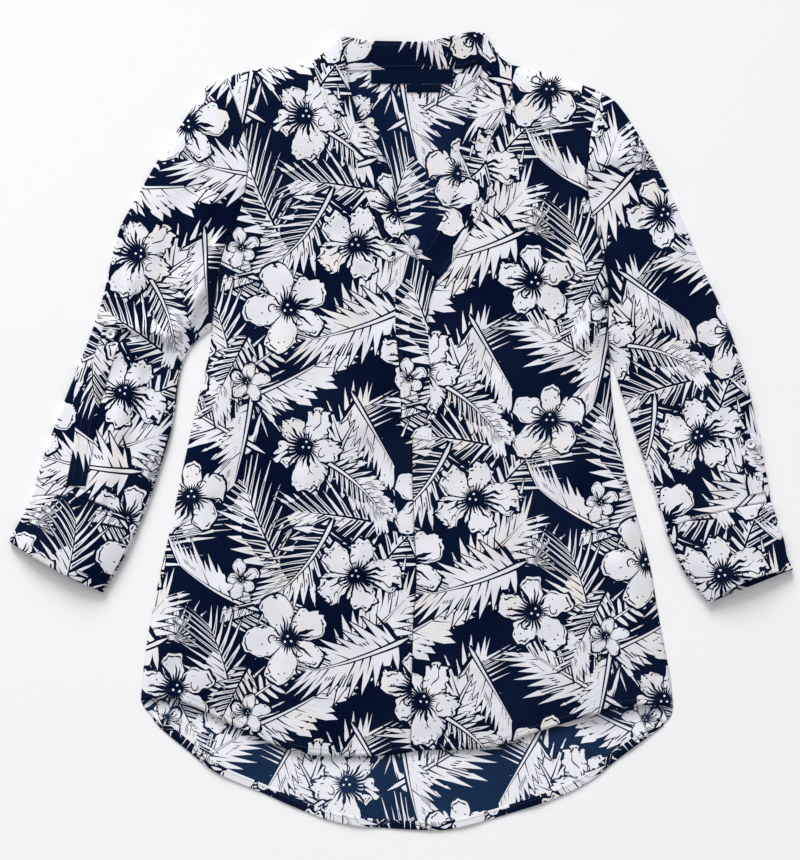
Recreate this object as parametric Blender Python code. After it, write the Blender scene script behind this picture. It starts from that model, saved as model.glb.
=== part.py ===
"""A printed popover shirt with a band collar, laid flat on its back.

The shirt lies face up on the XY plane, with its collar at +Y.  Sides are named as the wearer
has them, so "right" is at -X.  Every size below is in millimetres; the meshes are in metres.

The cloth is one wall of even thickness.  The back and the lower layer of each sleeve lie flat
on Z = 0.  The upper layer of every piece follows one height, upper_height(x, y), so the fronts
and the sleeves carry on from each other across their seams, and what is sewn on a panel is
that same height moved out.
"""

import math

import bmesh
import bpy
import numpy as np
from mathutils.bvhtree import BVHTree

# Driving sizes
WALL = 1.2            # thickness of the cloth
GAP = 0.3             # clearance between two pieces at a seam
LAYER = WALL + GAP    # one layer of cloth and the clearance over it
EDGE_TOP = 2 * WALL + GAP
NOSE = EDGE_TOP / 2   # radius of a folded edge of the flattened sleeve

LOFT = 3.4            # how far the upper layer stands off the lower one, away from the edges
LOFT_RUN = 26.0       # distance from a folded edge in which it gets there
OPEN_SHARE = 0.35     # share of the loft that is left at the neck and at the front hem
OPEN_RUN = 60.0

HEM_BAND = 9.5        # width of the back's turned hem
CREASE_DIP = 2.5      # how far the collar's fold over the shoulder curves in
TAB_WIDTH = 21.0
BUTTON_RADIUS = 5.2
BUTTON_HEIGHT = 2.2
LABEL_WALL = 1.0
SLEEVE_EASE = 0.2     # more room than one gap between a sleeve's end and the cuff round it

# How far round a point a strip looks for what it lies on, and from what height it looks down
TAB_REACH = 8.0
PLACKET_REACH = 9.0
COLLAR_REACH = 6.0
LOOK_FROM = 99.0

# Numbers of faces
SHOULDER_STEPS = 4
NECK_STEPS = 10
ARMHOLE_STEPS = 11
SIDE_STEPS = 12
FRONT_STEPS = 11
CENTRE_STEPS = 14
PLACKET_STEPS = 16
TAB_STEPS = 10
BAND_STEPS = 22
HEM_STEPS = 90
HEM_END_STEPS = 4     # steps of the hem that stay bare at each side seam
HEM_CROWDING = 0.7    # 0 spaces the back's columns evenly along its hem, 1 crowds them at its corners
BUTTON_SIDES = 20
FINE_STEPS = 200      # of an edge from which rows are picked by their share
FOLD_TURN = (90, 45, 0, -45, -90)     # degrees, from the top of a folded edge to its underside

# Outlines, each from one end to the other: x, y
COLLAR_TOP = [(-67, 434), (-55, 432), (-38, 429), (-2, 427.5), (26, 427.5), (48, 431.5), (68, 436.5),
              (80, 438.5), (91, 437)]
NECK_SEAM = [(-96, 407.5), (-78, 398), (-60, 396), (0, 397.5), (66, 398), (88, 404), (118, 405)]

RIGHT = {
    "shoulder": [(-193, 389), (-155, 398), (-113, 403.5), (-99, 405)],
    "side": [(-286, -297), (-284, -270), (-279, -230), (-268, -172), (-252, -100), (-239, -38),
             (-221, 43), (-211, 84), (-208, 110)],
    "armhole": [(-208, 110), (-199, 177), (-190, 210), (-179, 234), (-170, 265), (-167, 303),
                (-172, 330), (-180, 356), (-193, 389)],
    "outer": [(-193, 389), (-215, 378), (-235, 346), (-266, 298), (-294, 249), (-309, 221),
              (-328, 144), (-343, 100), (-375, 21), (-395, -34), (-406, -71)],
    "inner": [(-209, 110), (-229, 93), (-242, 64), (-249, 14), (-260, -27), (-276, -76),
              (-288, -105)],
    "cuff_outer": [(-406, -71), (-413, -88), (-422, -105), (-431, -121)],
    "cuff_inner": [(-288, -105), (-299, -129), (-311, -151), (-327, -178)],
    "cuff_bow": (14.0, -3.0),
    "hem": [(-286, -296), (-270, -292.5), (-250, -293), (-218, -306), (-176, -327), (-141, -343),
            (-110, -353), (-78, -357), (-14, -356), (10.5, -353)],
    "centre": [(10.5, -353), (13, -215), (16.5, -165), (14.5, -108), (12.5, -60), (12, 60),
               (12, 166)],
    "neckline": [(12, 166), (-4, 200), (-18, 213), (-27, 240), (-38, 268), (-44, 293),
                 (-53, 317), (-67, 338), (-78, 358), (-87, 381), (-93, 397), (-99, 405)],
    "tab": [(-314.5, 117), (-320, 98), (-328, 72), (-335, 50), (-341, 28), (-346, 6),
            (-348, -16), (-352, -40), (-356, -61)],
    "button": (-318, 106),
}

LEFT = {
    "shoulder": [(222, 372), (180, 387), (150, 396), (121, 402.5)],
    "side": [(299, -303), (296, -270), (290, -240), (281, -190), (273, -144), (258, -89),
             (240, -17), (231, 45), (230, 76)],
    "armhole": [(230, 76), (227, 97), (227, 134), (226, 170), (213, 223), (205, 260),
                (205, 300), (210, 335), (222, 372)],
    "outer": [(222, 372), (238, 360), (264, 320), (300, 251), (331, 178), (353, 131),
              (377, 62), (392, 1), (403, -54), (407, -78)],
    "inner": [(231, 76), (240, 45), (252, 10), (275, -59), (290, -108)],
    "cuff_outer": [(407, -78), (414, -100), (421, -121), (424, -138), (431, -152)],
    "cuff_inner": [(290, -108), (299, -130), (312, -156), (337, -190)],
    "cuff_bow": (4.0, 0.0),
    "hem": [(299, -303), (273, -301), (247, -303), (209, -312), (151, -330), (96, -348),
            (20, -351), (11.1, -353)],
    "centre": [(11.1, -353), (13.6, -215), (17.1, -165), (15.1, -108), (13.1, -60), (12.6, 60),
               (12.6, 166)],
    "neckline": [(12.6, 166), (42, 168), (56, 189), (70, 214), (84, 240), (93, 262), (94, 281),
                 (91, 302), (96, 320), (107, 342), (112, 358), (118, 377), (119, 395),
                 (121, 402.5)],
    "tab": [(384, -3), (383.5, -20), (384.5, -38), (387, -54), (390, -69)],
    "button": (383, -14),
}

BACK_HEM = [(-286, -297), (-283.5, -304), (-276, -313), (-264, -327), (-235, -351), (-204, -375),
            (-157, -396), (-94, -423), (-56, -433), (-12, -437), (32, -439), (54, -438), (98, -427),
            (164, -406), (206, -386), (237, -362), (268, -339), (287, -325), (295.5, -317), (299, -309),
            (299, -303)]

# The stretch of collar band that runs down each side of the neck, from the fold over the
# shoulder to the placket: seam x, seam y, free edge x, free edge y
RIGHT_BAND = [(-95, 398, -61, 400), (-90, 380, -57, 378), (-82, 357, -50, 357),
              (-70, 338, -40, 334), (-56, 317, -26, 312), (-48, 292, -12, 287),
              (-42, 268, -7, 262), (-31, 240, 0, 232), (-21, 212, 7, 212), (-5.5, 199, 17.6, 188.4)]
LEFT_BAND = [(121, 392, 90, 416), (121, 376, 88, 399), (115, 358, 82, 380), (110, 342, 77, 358),
             (99, 320, 69, 335), (94, 301, 64, 310), (97, 281, 66, 290), (96, 261, 66, 273),
             (87, 239, 57, 256), (73, 213, 43, 227), (58, 188, 28, 204), (41, 165.5, 18.6, 187)]

# The way each fold of the collar over a shoulder faces the neck: x, y
RIGHT_FOLD_FACES = (0.6, -0.8)
LEFT_FOLD_FACES = (-0.75, -0.65)

PLACKET_LEFT = [(0, -6), (-1, 56), (-6, 111), (-6, 175), (-5.8, 198)]
PLACKET_RIGHT = [(34, -11), (32, 34), (30, 100), (31, 140), (40, 164.5)]
PLACKET_TOP = [(-5.8, 198), (18, 187), (40, 164.5)]

NECK_LABEL = (-33, 381.5, 57, 403)     # x and y of two opposite corners
SIZE_LABEL = (6, 372, 44, 381.1)

# Turned profile of a button: share of its radius, share of its height
BUTTON_PROFILE = [(0.55, 0.0), (0.93, 0.12), (1.0, 0.45), (0.94, 0.85), (0.82, 1.0), (0.66, 0.92),
                  (0.5, 0.66)]

# Rows of the sleeve from the armhole to just above the cuff: share of the outer edge, share of
# the inner edge, share of the armhole's curve
SLEEVE_ROWS = [(0.00, 0.000, 1.00), (0.035, 0.003, 0.97), (0.07, 0.006, 0.93), (0.12, 0.011, 0.86),
               (0.18, 0.018, 0.77), (0.25, 0.026, 0.67), (0.33, 0.036, 0.53), (0.41, 0.048, 0.38),
               (0.49, 0.068, 0.22), (0.56, 0.11, 0.10),
               (0.64, 0.24, 0.03), (0.72, 0.40, 0.0), (0.80, 0.56, 0.0), (0.88, 0.73, 0.0),
               (0.935, 0.86, 0.0)]
CUFF_ROWS = [0.0, 0.3, 0.6, 0.88, 1.0]   # shares of the cuff's depth, from its top edge
CUFF_APPROACH = 5.0                      # where the sleeve has risen, before the cuff's edge

# Largest folds of the upper layer: x and y of both ends, half width, height (below 0, a trough)
FOLDS = [
    (-62, 150, -52, 10, 24, 2.2), (-38, 170, -30, 30, 13, -1.2), (-95, 330, -70, 235, 16, 1.4),
    (-150, 250, -140, 120, 20, -1.0), (-128, 210, -122, 70, 16, 1.3), (-190, 60, -206, -60, 18, 1.6),
    (-176, -130, -205, -270, 24, 1.7), (-90, -120, -96, -330, 26, 1.5), (-30, -150, -34, -340, 16, -0.9),
    (196, 300, 214, 110, 13, 2.4), (181, 280, 192, 120, 10, -1.4), (150, 230, 158, 60, 18, 1.2),
    (225, 0, 258, -110, 14, 2.2), (205, -20, 232, -130, 11, -1.2), (120, 40, 112, -120, 22, 1.1),
    (84, -140, 100, -330, 24, 1.6), (190, -150, 214, -300, 24, 1.6), (70, 110, 66, -20, 14, 1.2),
    (-326, 122, -256, 104, 9, 3.6), (-252, 104, -222, 150, 12, 2.2), (-232, 150, -214, 250, 12, 1.8),
    (-262, 250, -284, 170, 16, 1.8), (-300, 40, -322, -50, 14, 2.0), (-280, 60, -300, -20, 10, -1.2),
    (-240, 330, -262, 270, 14, 1.2), (356, 92, 370, 44, 9, 3.0), (370, 44, 383, 6, 8, 2.4),
    (262, 130, 300, 30, 14, 2.2), (246, 200, 268, 120, 13, 1.8), (300, 190, 322, 110, 16, 1.6),
    (330, 40, 352, -50, 15, 1.8), (300, -20, 326, -90, 11, 1.4), (250, 320, 276, 262, 14, 1.2),
]


def resample(points, steps):
    """Points at equal steps along a polyline."""
    line = np.asarray(points, float)
    along = np.concatenate([[0.0], np.cumsum(np.linalg.norm(np.diff(line, axis=0), axis=1))])
    wanted = np.linspace(0, along[-1], steps + 1)
    return np.stack([np.interp(wanted, along, line[:, axis]) for axis in range(line.shape[1])], 1)


def smooth(points, steps):
    """A soft curve through the points, cut into equal steps."""
    knots = np.asarray(points, float)
    ends = [2 * knots[0] - knots[1]], [2 * knots[-1] - knots[-2]]
    padded = np.concatenate([ends[0], knots, ends[1]])
    share = np.linspace(0, 1, 16, endpoint=False)[:, None]
    pieces = []
    for before, start, end, after in zip(padded, padded[1:], padded[2:], padded[3:]):
        span = max(np.linalg.norm(end - start), 1e-6)
        leave = (end - before) * span / max(np.linalg.norm(end - before), 1e-6)
        arrive = (after - start) * span / max(np.linalg.norm(after - start), 1e-6)
        cubed, squared = share ** 3, share ** 2
        pieces.append((2 * cubed - 3 * squared + 1) * start + (cubed - 2 * squared + share) * leave
                      + (3 * squared - 2 * cubed) * end + (cubed - squared) * arrive)
    return resample(np.concatenate(pieces + [knots[-1:]]), steps)


def distance(x, y, line):
    """Least distance from each plan point to a polyline."""
    nearest = np.full(np.shape(x), np.inf)
    for (x0, y0), (x1, y1) in zip(line, line[1:]):
        run, rise = x1 - x0, y1 - y0
        share = ((x - x0) * run + (y - y0) * rise) / max(run * run + rise * rise, 1e-9)
        share = np.clip(share, 0, 1)
        nearest = np.minimum(nearest, np.hypot(x - x0 - share * run, y - y0 - share * rise))
    return nearest


SURFACES = {}    # name of each solid made so far: its faces, to lay the next piece on

FOLDED_EDGES = []
for half in (RIGHT, LEFT):
    FOLDED_EDGES += [smooth(half["shoulder"], 8), smooth(half["side"], 24),
                     smooth(half["outer"] + half["cuff_outer"][1:], 30),
                     smooth(half["inner"] + half["cuff_inner"][1:], 20)]
FOLDED_EDGES += [np.array([(-99, 405), (-66, 434)]), np.array([(121, 402.5), (91, 436)])]
OPEN_EDGES = [smooth([row[2:] for row in RIGHT_BAND], 16), smooth([row[2:] for row in LEFT_BAND], 16),
              smooth(RIGHT["hem"], 12), smooth(LEFT["hem"], 12)]


def upper_height(x, y):
    """Height of the upper layer's outer face over the table."""
    x, y = np.asarray(x, float), np.asarray(y, float)
    from_edge = np.minimum.reduce([distance(x, y, line) for line in FOLDED_EDGES])
    from_opening = np.minimum.reduce([distance(x, y, line) for line in OPEN_EDGES])
    rise = 1 - np.exp(-from_edge / LOFT_RUN)
    settled = 1 - (1 - OPEN_SHARE) * np.exp(-from_opening / OPEN_RUN)
    height = EDGE_TOP + LOFT * rise * settled
    for x0, y0, x1, y1, width, lift in FOLDS:
        away = distance(x, y, [(x0, y0), (x1, y1)])
        height = height + lift * rise * np.exp(-(away / width) ** 2)
    return np.maximum(height, EDGE_TOP)


def patch(bottom, top, left, right):
    """A plan grid that fills four edges, row by row from the bottom one to the top one."""
    across = np.linspace(0, 1, len(bottom))[None, :, None]
    along = np.linspace(0, 1, len(left))[:, None, None]
    ruled = (1 - along) * bottom[None] + along * top[None]
    ruled = ruled + (1 - across) * left[:, None] + across * right[:, None]
    corners = (1 - along) * ((1 - across) * bottom[0] + across * bottom[-1])
    corners = corners + along * ((1 - across) * top[0] + across * top[-1])
    return ruled - corners


def join(*lines):
    """Polylines put end to end, each shared end once."""
    return np.concatenate([lines[0]] + [line[1:] for line in lines[1:]])


def raised(plan, height):
    """Plan points with a height, as points in space."""
    return np.concatenate([plan, np.broadcast_to(height, plan.shape[:-1])[..., None]], -1)


def top_of(names, plan, reach):
    """The highest face of the named solids within reach of each plan point, or 0."""
    trees = [SURFACES[name] for name in names]
    turns = np.radians(np.arange(0, 360, 45))
    around = [(0.0, 0.0)] + [(reach * math.cos(turn), reach * math.sin(turn)) for turn in turns]
    around += [(dx / 2, dy / 2) for dx, dy in around[1:]]
    highest = np.zeros(plan.shape[:-1])
    for spot in np.ndindex(highest.shape):
        x, y = plan[spot]
        for dx, dy in around:
            hits = [tree.ray_cast((x + dx, y + dy, LOOK_FROM), (0, 0, -1))[0] for tree in trees]
            highest[spot] = max([highest[spot]] + [hit.z for hit in hits if hit])
    return highest


def lying(plan, names, reach):
    """The lowest face of a strip that lies on the named solids."""
    return np.maximum(upper_height(plan[..., 0], plan[..., 1]), top_of(names, plan, reach)) + GAP


def finish(name, points, faces, colour, roughness=0.85):
    """One named object in metres, faces outward, with its own material."""
    SURFACES[name] = BVHTree.FromPolygons([tuple(point) for point in points], faces)
    mesh = bpy.data.meshes.new(name)
    mesh.from_pydata([tuple(point) for point in np.asarray(points) / 1000], [], faces)
    shape = bmesh.new()
    shape.from_mesh(mesh)
    bmesh.ops.recalc_face_normals(shape, faces=shape.faces)
    shape.to_mesh(mesh)
    shape.free()
    mesh.shade_smooth()
    mesh.set_sharp_from_angle(angle=math.radians(40))
    material = bpy.data.materials.new(name)
    material.use_nodes = True
    shader = material.node_tree.nodes["Principled BSDF"]
    shader.inputs["Base Color"].default_value = (*colour, 1)
    shader.inputs["Roughness"].default_value = roughness
    mesh.materials.append(material)
    thing = bpy.data.objects.new(name, mesh)
    bpy.context.collection.objects.link(thing)
    return thing


def grid_solid(name, plan, top, bottom, colour):
    """A wall of cloth between two heights over one plan grid."""
    rows, columns = plan.shape[:2]
    points = np.concatenate([raised(plan, top).reshape(-1, 3), raised(plan, bottom).reshape(-1, 3)])
    under = rows * columns
    faces = []
    for row in range(rows - 1):
        for column in range(columns - 1):
            first = row * columns + column
            quad = (first, first + 1, first + columns + 1, first + columns)
            faces.append(quad)
            faces.append(tuple(corner + under for corner in reversed(quad)))
    rim = list(range(columns))
    rim += [row * columns + columns - 1 for row in range(1, rows)]
    rim += [(rows - 1) * columns + column for column in range(columns - 2, -1, -1)]
    rim += [row * columns for row in range(rows - 2, 0, -1)]
    for here, there in zip(rim, rim[1:] + rim[:1]):
        faces.append((here, here + under, there + under, there))
    return finish(name, points, faces, colour)


def loop_faces(rows, count, start=0):
    """Faces of the skin through closed loops of count points each."""
    faces = []
    for row in range(rows - 1):
        for spot in range(count):
            here, there = row * count + spot, row * count + (spot + 1) % count
            faces.append((start + here, start + there, start + there + count, start + here + count))
    return faces


def tube_solid(name, outer, inner, colour):
    """A tube's wall between two skins, each an array of closed loops, open at both ends."""
    rows, count = outer.shape[:2]
    under = rows * count
    faces = loop_faces(rows, count) + [face[::-1] for face in loop_faces(rows, count, under)]
    for end in (0, (rows - 1) * count):
        for spot in range(count):
            here, there = end + spot, end + (spot + 1) % count
            faces.append((here, here + under, there + under, there))
    return finish(name, np.concatenate([outer.reshape(-1, 3), inner.reshape(-1, 3)]), faces, colour)


def ribbon_solid(name, middle, normals, wall, colour):
    """A ribbon's solid: rows of points across its middle face, moved out to both sides."""
    loops = np.concatenate([middle + normals * wall / 2, (middle - normals * wall / 2)[:, ::-1]], 1)
    rows, count = loops.shape[:2]
    half = count // 2
    faces = loop_faces(rows, count)
    for end in (0, (rows - 1) * count):
        for spot in range(half - 1):
            faces.append((end + spot, end + spot + 1, end + count - 2 - spot, end + count - 1 - spot))
    return finish(name, loops.reshape(-1, 3), faces, colour)


def shifted(line, amount):
    """A plan line moved sideways, to its left for a positive amount."""
    run = np.gradient(line, axis=0)
    normal = np.stack([-run[:, 1], run[:, 0]], 1) / np.linalg.norm(run, axis=1)[:, None]
    return line + normal * amount


def section(start, end, shape, steps):
    """A plan curve from start to end with the sideways shape, a function of the share along it."""
    share = np.linspace(0, 1, steps + 1)[:, None]
    return start + (end - start) * share + shape(share)


def flat_tube(rows, bottoms, tops, nose):
    """Outer and inner skins of a flattened tube: plan rows, their lowest faces, their top faces."""
    skins = []
    angles = np.radians(FOLD_TURN[1:-1])
    for inset in (0, WALL):
        loops = []
        for plan, low, high in zip(rows, bottoms, tops):
            run = np.concatenate([[0], np.cumsum(np.linalg.norm(np.diff(plan, axis=0), axis=1))])
            kept = np.linspace(nose, run[-1] - nose, len(plan))
            core = np.stack([np.interp(kept, run, plan[:, axis]) for axis in (0, 1)], 1)
            top = raised(core, np.interp(kept, run, high) - inset)
            bottom = raised(core, low + inset)
            arcs = []
            for side, centre, tip in ((-1, core[-1], plan[-1]), (0, core[0], plan[0])):
                middle = (top[side, 2] + bottom[side, 2]) / 2
                half = (top[side, 2] - bottom[side, 2]) / 2
                outward = (tip - centre) / np.linalg.norm(tip - centre) * (nose - inset)
                arc = [(*(centre + outward * math.cos(a)), middle + half * math.sin(a)) for a in angles]
                arcs.append(np.array(arc))
            loops.append(np.concatenate([top, arcs[0], bottom[::-1], arcs[1][::-1]]))
        skins.append(np.array(loops))
    return skins


def sleeve_plan(half):
    """Plan rows of a sleeve and of its cuff, each from the outer edge to the inner one."""
    armhole = smooth(half["armhole"], ARMHOLE_STEPS)[::-1]
    chord = section(armhole[0], armhole[-1], lambda share: 0 * share, ARMHOLE_STEPS)
    outer, inner = smooth(half["outer"], FINE_STEPS), smooth(half["inner"], FINE_STEPS)
    cuff_outer, cuff_inner = smooth(half["cuff_outer"], FINE_STEPS), smooth(half["cuff_inner"], FINE_STEPS)
    upwards = cuff_outer[0] + cuff_inner[0] - cuff_outer[-1] - cuff_inner[-1]
    upwards = upwards / np.linalg.norm(upwards)
    bow_top, bow_end = half["cuff_bow"]

    def bowed(start, end, bow):
        return section(start, end, lambda share: upwards * bow * 4 * share * (1 - share), ARMHOLE_STEPS)

    rows = []
    for outer_share, inner_share, curve in SLEEVE_ROWS:
        start, end = outer[round(FINE_STEPS * outer_share)], inner[round(FINE_STEPS * inner_share)]
        straight = bowed(start, end, bow_top * outer_share ** 6)
        rows.append(straight + (armhole - chord) * curve)
    rows[0] = shifted(armhole, GAP if half is LEFT else -GAP)
    cuff = []
    for share in CUFF_ROWS:
        place = round(FINE_STEPS * share)
        cuff.append(bowed(cuff_outer[place], cuff_inner[place], bow_top + (bow_end - bow_top) * share))
    approach = cuff[0] + upwards * CUFF_APPROACH
    return rows, approach, cuff


def pinched(plan, amount):
    """A plan row drawn in by the amount at both ends."""
    run = np.linalg.norm(plan[-1] - plan[0])
    middle = (plan[0] + plan[-1]) / 2
    return middle + (plan - middle) * (1 - 2 * amount / run)


def make_sleeve(side, half, colour):
    """The sleeve, a flattened tube that rises off the table just before it enters the cuff."""
    rows, approach, cuff = sleeve_plan(half)
    inside = [pinched(row, LAYER + SLEEVE_EASE) for row in [approach] + cuff[:-1]]
    plans = rows + inside
    bottoms = [0.0] * len(rows) + [LAYER] * len(inside)
    tops = [upper_height(*plan.T) + low for plan, low in zip(plans, bottoms)]
    outer, inner = flat_tube(plans, bottoms, tops, NOSE)
    tube_solid(f"sleeve_{side}", outer, inner, colour)
    tops = [upper_height(*plan.T) + 2 * LAYER for plan in cuff]
    outer, inner = flat_tube(cuff, [0.0] * len(cuff), tops, NOSE + LAYER)
    tube_solid(f"cuff_{side}", outer, inner, colour)


def make_tab(side, half, colour):
    """The strap that buttons on the sleeve above the cuff, and its button."""
    centre = smooth(half["tab"], TAB_STEPS)
    edges = shifted(centre, TAB_WIDTH / 2), centre, shifted(centre, -TAB_WIDTH / 2)
    plan = np.stack(edges, 1)
    under = lying(plan, [f"sleeve_{side}"], TAB_REACH)
    grid_solid(f"tab_{side}", plan, under + WALL, under, colour)
    x, y = half["button"]
    seat = top_of([f"tab_{side}"], np.array([[x, y]]), BUTTON_RADIUS)[0] + GAP
    make_button(f"button_{side}", x, y, seat)


def make_button(name, x, y, seat):
    """A turned button with a rim round a dished face."""
    turns = np.linspace(0, 2 * math.pi, BUTTON_SIDES, endpoint=False)
    loops = []
    for out, up in BUTTON_PROFILE:
        radius = BUTTON_RADIUS * out
        height = seat + BUTTON_HEIGHT * up
        loops.append([(x + radius * math.cos(turn), y + radius * math.sin(turn), height) for turn in turns])
    points = np.array(loops).reshape(-1, 3)
    faces = loop_faces(len(loops), BUTTON_SIDES)
    faces.append(tuple(range(BUTTON_SIDES)))
    faces.append(tuple(range(len(points) - BUTTON_SIDES, len(points))))
    finish(name, points, faces, (0.72, 0.74, 0.78), 0.3)


def make_back(colour):
    """The back panel, flat on the table from the shoulders to its long rounded tail."""
    neck = smooth(NECK_SEAM, NECK_STEPS)
    neck[:, 1] -= GAP
    neck[0], neck[-1] = RIGHT["shoulder"][-1], LEFT["shoulder"][-1]
    right_top = smooth(RIGHT["shoulder"], SHOULDER_STEPS)
    left_top = smooth(LEFT["shoulder"], SHOULDER_STEPS)
    top = join(right_top, neck, left_top[::-1])
    sides = []
    for half in (RIGHT, LEFT):
        sides.append(join(smooth(half["side"], SIDE_STEPS), smooth(half["armhole"], ARMHOLE_STEPS)))
    share = np.linspace(0, 1, len(top))
    share = share - HEM_CROWDING * np.sin(2 * math.pi * share) / (2 * math.pi)
    hem = smooth(BACK_HEM, FINE_STEPS)[np.round(FINE_STEPS * share).astype(int)]
    grid_solid("back", patch(hem, top, *sides), WALL, 0.0, colour)


def make_front(side, half, colour):
    """One front, from its curved hem to the shoulder, cut away round the neck."""
    outside = join(smooth(half["side"], SIDE_STEPS), smooth(half["armhole"], ARMHOLE_STEPS))
    inside = join(smooth(half["centre"], CENTRE_STEPS),
                  resample(half["neckline"], len(outside) - 1 - CENTRE_STEPS))
    plan = patch(smooth(half["hem"], FRONT_STEPS), smooth(half["shoulder"], FRONT_STEPS), outside, inside)
    top = upper_height(plan[..., 0], plan[..., 1])
    grid_solid(f"front_{side}", plan, top, top - WALL, colour)


def make_collar(colour):
    """The band collar, one ribbon that runs up one side of the neck, round the back and down."""
    across = np.linspace(0, 1, 4)[:, None]
    mid_front = LAYER - WALL / 2

    def spread(seam, edge):
        return np.asarray(seam, float) + (np.asarray(edge, float) - seam) * across

    rows, normals = [], []
    for band, crease_seam, crease_edge, faces_neck in (
            (RIGHT_BAND, NECK_SEAM[0], COLLAR_TOP[0], RIGHT_FOLD_FACES),
            (LEFT_BAND, NECK_SEAM[-1], COLLAR_TOP[-1], LEFT_FOLD_FACES)):
        table = smooth(band[::-1], BAND_STEPS)
        stretch = [raised(spread(row[:2], row[2:]), 0) for row in table]
        for row in stretch:
            row[:, 2] = lying(row[:, :2], ["front_right", "front_left"], COLLAR_REACH) + WALL / 2
        inward = np.array(faces_neck) / np.linalg.norm(faces_neck)
        crease = spread(crease_seam, crease_edge) + inward * CREASE_DIP * 4 * across * (1 - across)
        high, low = EDGE_TOP + mid_front, WALL / 2
        radius = (high - low) / 2
        turn_rows, turn_normals = [], []
        for angle in np.radians(FOLD_TURN):
            plan = crease + inward * radius * (1 - math.cos(angle))
            turn_rows.append(raised(plan, (high + low) / 2 + radius * math.sin(angle)))
            outward = (*(-inward * math.cos(angle)), math.sin(angle))
            turn_normals.append(np.tile(outward, (4, 1)))
        up = [np.tile((0.0, 0.0, 1.0), (4, 1))] * len(stretch)
        if band is RIGHT_BAND:
            rows += stretch + turn_rows
            normals += up + turn_normals
            seams, edges = smooth(NECK_SEAM, NECK_STEPS), smooth(COLLAR_TOP, NECK_STEPS)
            for seam, edge in list(zip(seams, edges))[1:-1]:
                rows.append(raised(spread(seam, edge), WALL / 2))
                normals.append(np.tile((0.0, 0.0, -1.0), (4, 1)))
        else:
            rows += turn_rows[::-1] + stretch[::-1]
            normals += turn_normals[::-1] + up
    ribbon_solid("collar", np.array(rows), np.array(normals), WALL, colour)


def make_placket(colour):
    """The strip down the closed front opening, over the two fronts' edges."""
    top = np.concatenate([resample(PLACKET_TOP[:2], 2), resample(PLACKET_TOP[1:], 2)[1:]])
    top[:, 1] -= 2 * GAP
    bottom = resample([PLACKET_LEFT[0], PLACKET_RIGHT[0]], 4)
    plan = patch(bottom, top, smooth(PLACKET_LEFT, PLACKET_STEPS), smooth(PLACKET_RIGHT, PLACKET_STEPS))
    under = lying(plan, ["front_right", "front_left"], PLACKET_REACH)
    grid_solid("placket", plan, under + WALL, under, colour)


def make_back_hem(colour):
    """The back's hem, turned up onto its inside as a narrow band."""
    edge = smooth(BACK_HEM, HEM_STEPS)[HEM_END_STEPS:-HEM_END_STEPS]
    plan = np.stack([edge, shifted(edge, HEM_BAND)], 1)
    grid_solid("back_hem", plan, LAYER + WALL, LAYER, colour)


def make_label(name, corners, colour):
    """A label that lies on the inside of the back."""
    x0, y0, x1, y1 = corners
    plan = patch(resample([(x0, y0), (x1, y0)], 4), resample([(x0, y1), (x1, y1)], 4),
                 resample([(x0, y0), (x0, y1)], 2), resample([(x1, y0), (x1, y1)], 2))
    grid_solid(name, plan, LAYER + LABEL_WALL, LAYER, colour)


for old in list(bpy.data.objects):
    bpy.data.objects.remove(old, do_unlink=True)

NAVY, INSIDE, PALE = (0.004, 0.012, 0.05), (0.02, 0.06, 0.16), (0.55, 0.56, 0.62)
make_back(INSIDE)
make_front("right", RIGHT, PALE)
make_front("left", LEFT, PALE)
make_collar(NAVY)
make_placket(PALE)
make_back_hem(NAVY)
for side_name, half_table in (("right", RIGHT), ("left", LEFT)):
    make_sleeve(side_name, half_table, PALE)
    make_tab(side_name, half_table, NAVY)
make_label("neck_label", NECK_LABEL, NAVY)
make_label("size_label", SIZE_LABEL, NAVY)
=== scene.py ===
# %% [markdown]
# # A printed popover shirt, laid flat
#
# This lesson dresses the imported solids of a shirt: thin cloth, a printed pattern, stitches,
# buttons, a floor and light. The solids say where everything is. They stay where they are, and
# each piece made here stands for one of them.
#
# The shirt lies face up with its collar at +Y. Sides are the wearer's, so "right" is at -X.
# Sizes are in millimetres until a mesh is made, because that is how a pattern cutter thinks.

# %% Load the solids
import math

import bpy
import numpy as np
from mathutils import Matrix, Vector


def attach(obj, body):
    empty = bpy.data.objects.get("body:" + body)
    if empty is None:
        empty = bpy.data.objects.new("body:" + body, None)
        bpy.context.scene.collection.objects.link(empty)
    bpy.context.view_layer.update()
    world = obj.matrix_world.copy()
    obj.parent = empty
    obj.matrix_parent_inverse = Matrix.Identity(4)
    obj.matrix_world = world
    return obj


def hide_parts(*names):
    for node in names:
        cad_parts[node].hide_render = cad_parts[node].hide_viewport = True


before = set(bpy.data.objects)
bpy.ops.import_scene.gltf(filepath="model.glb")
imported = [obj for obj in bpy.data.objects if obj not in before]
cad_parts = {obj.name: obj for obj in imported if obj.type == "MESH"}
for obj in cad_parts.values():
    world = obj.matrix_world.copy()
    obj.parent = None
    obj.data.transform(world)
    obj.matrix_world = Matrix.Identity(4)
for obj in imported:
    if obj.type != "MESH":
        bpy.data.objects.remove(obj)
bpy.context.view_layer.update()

# %% [markdown]
# ## The lay of the shirt
#
# A flat shirt is a drawing: each panel has an outline on the table. The tables below are those
# outlines, with a point where the edge turns and a soft curve between the points. The solids
# were made from the same tables, so the cloth comes out where the solids are.
#
# Each half of the body has a table with its edges by name. Two small entries belong to the
# cuff: `cuff_bow` says how far its upper edge and its open end bend up the sleeve, and
# `cuff_gape` how far the upper layer of the open end is pulled back, so that we see into it.

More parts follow.
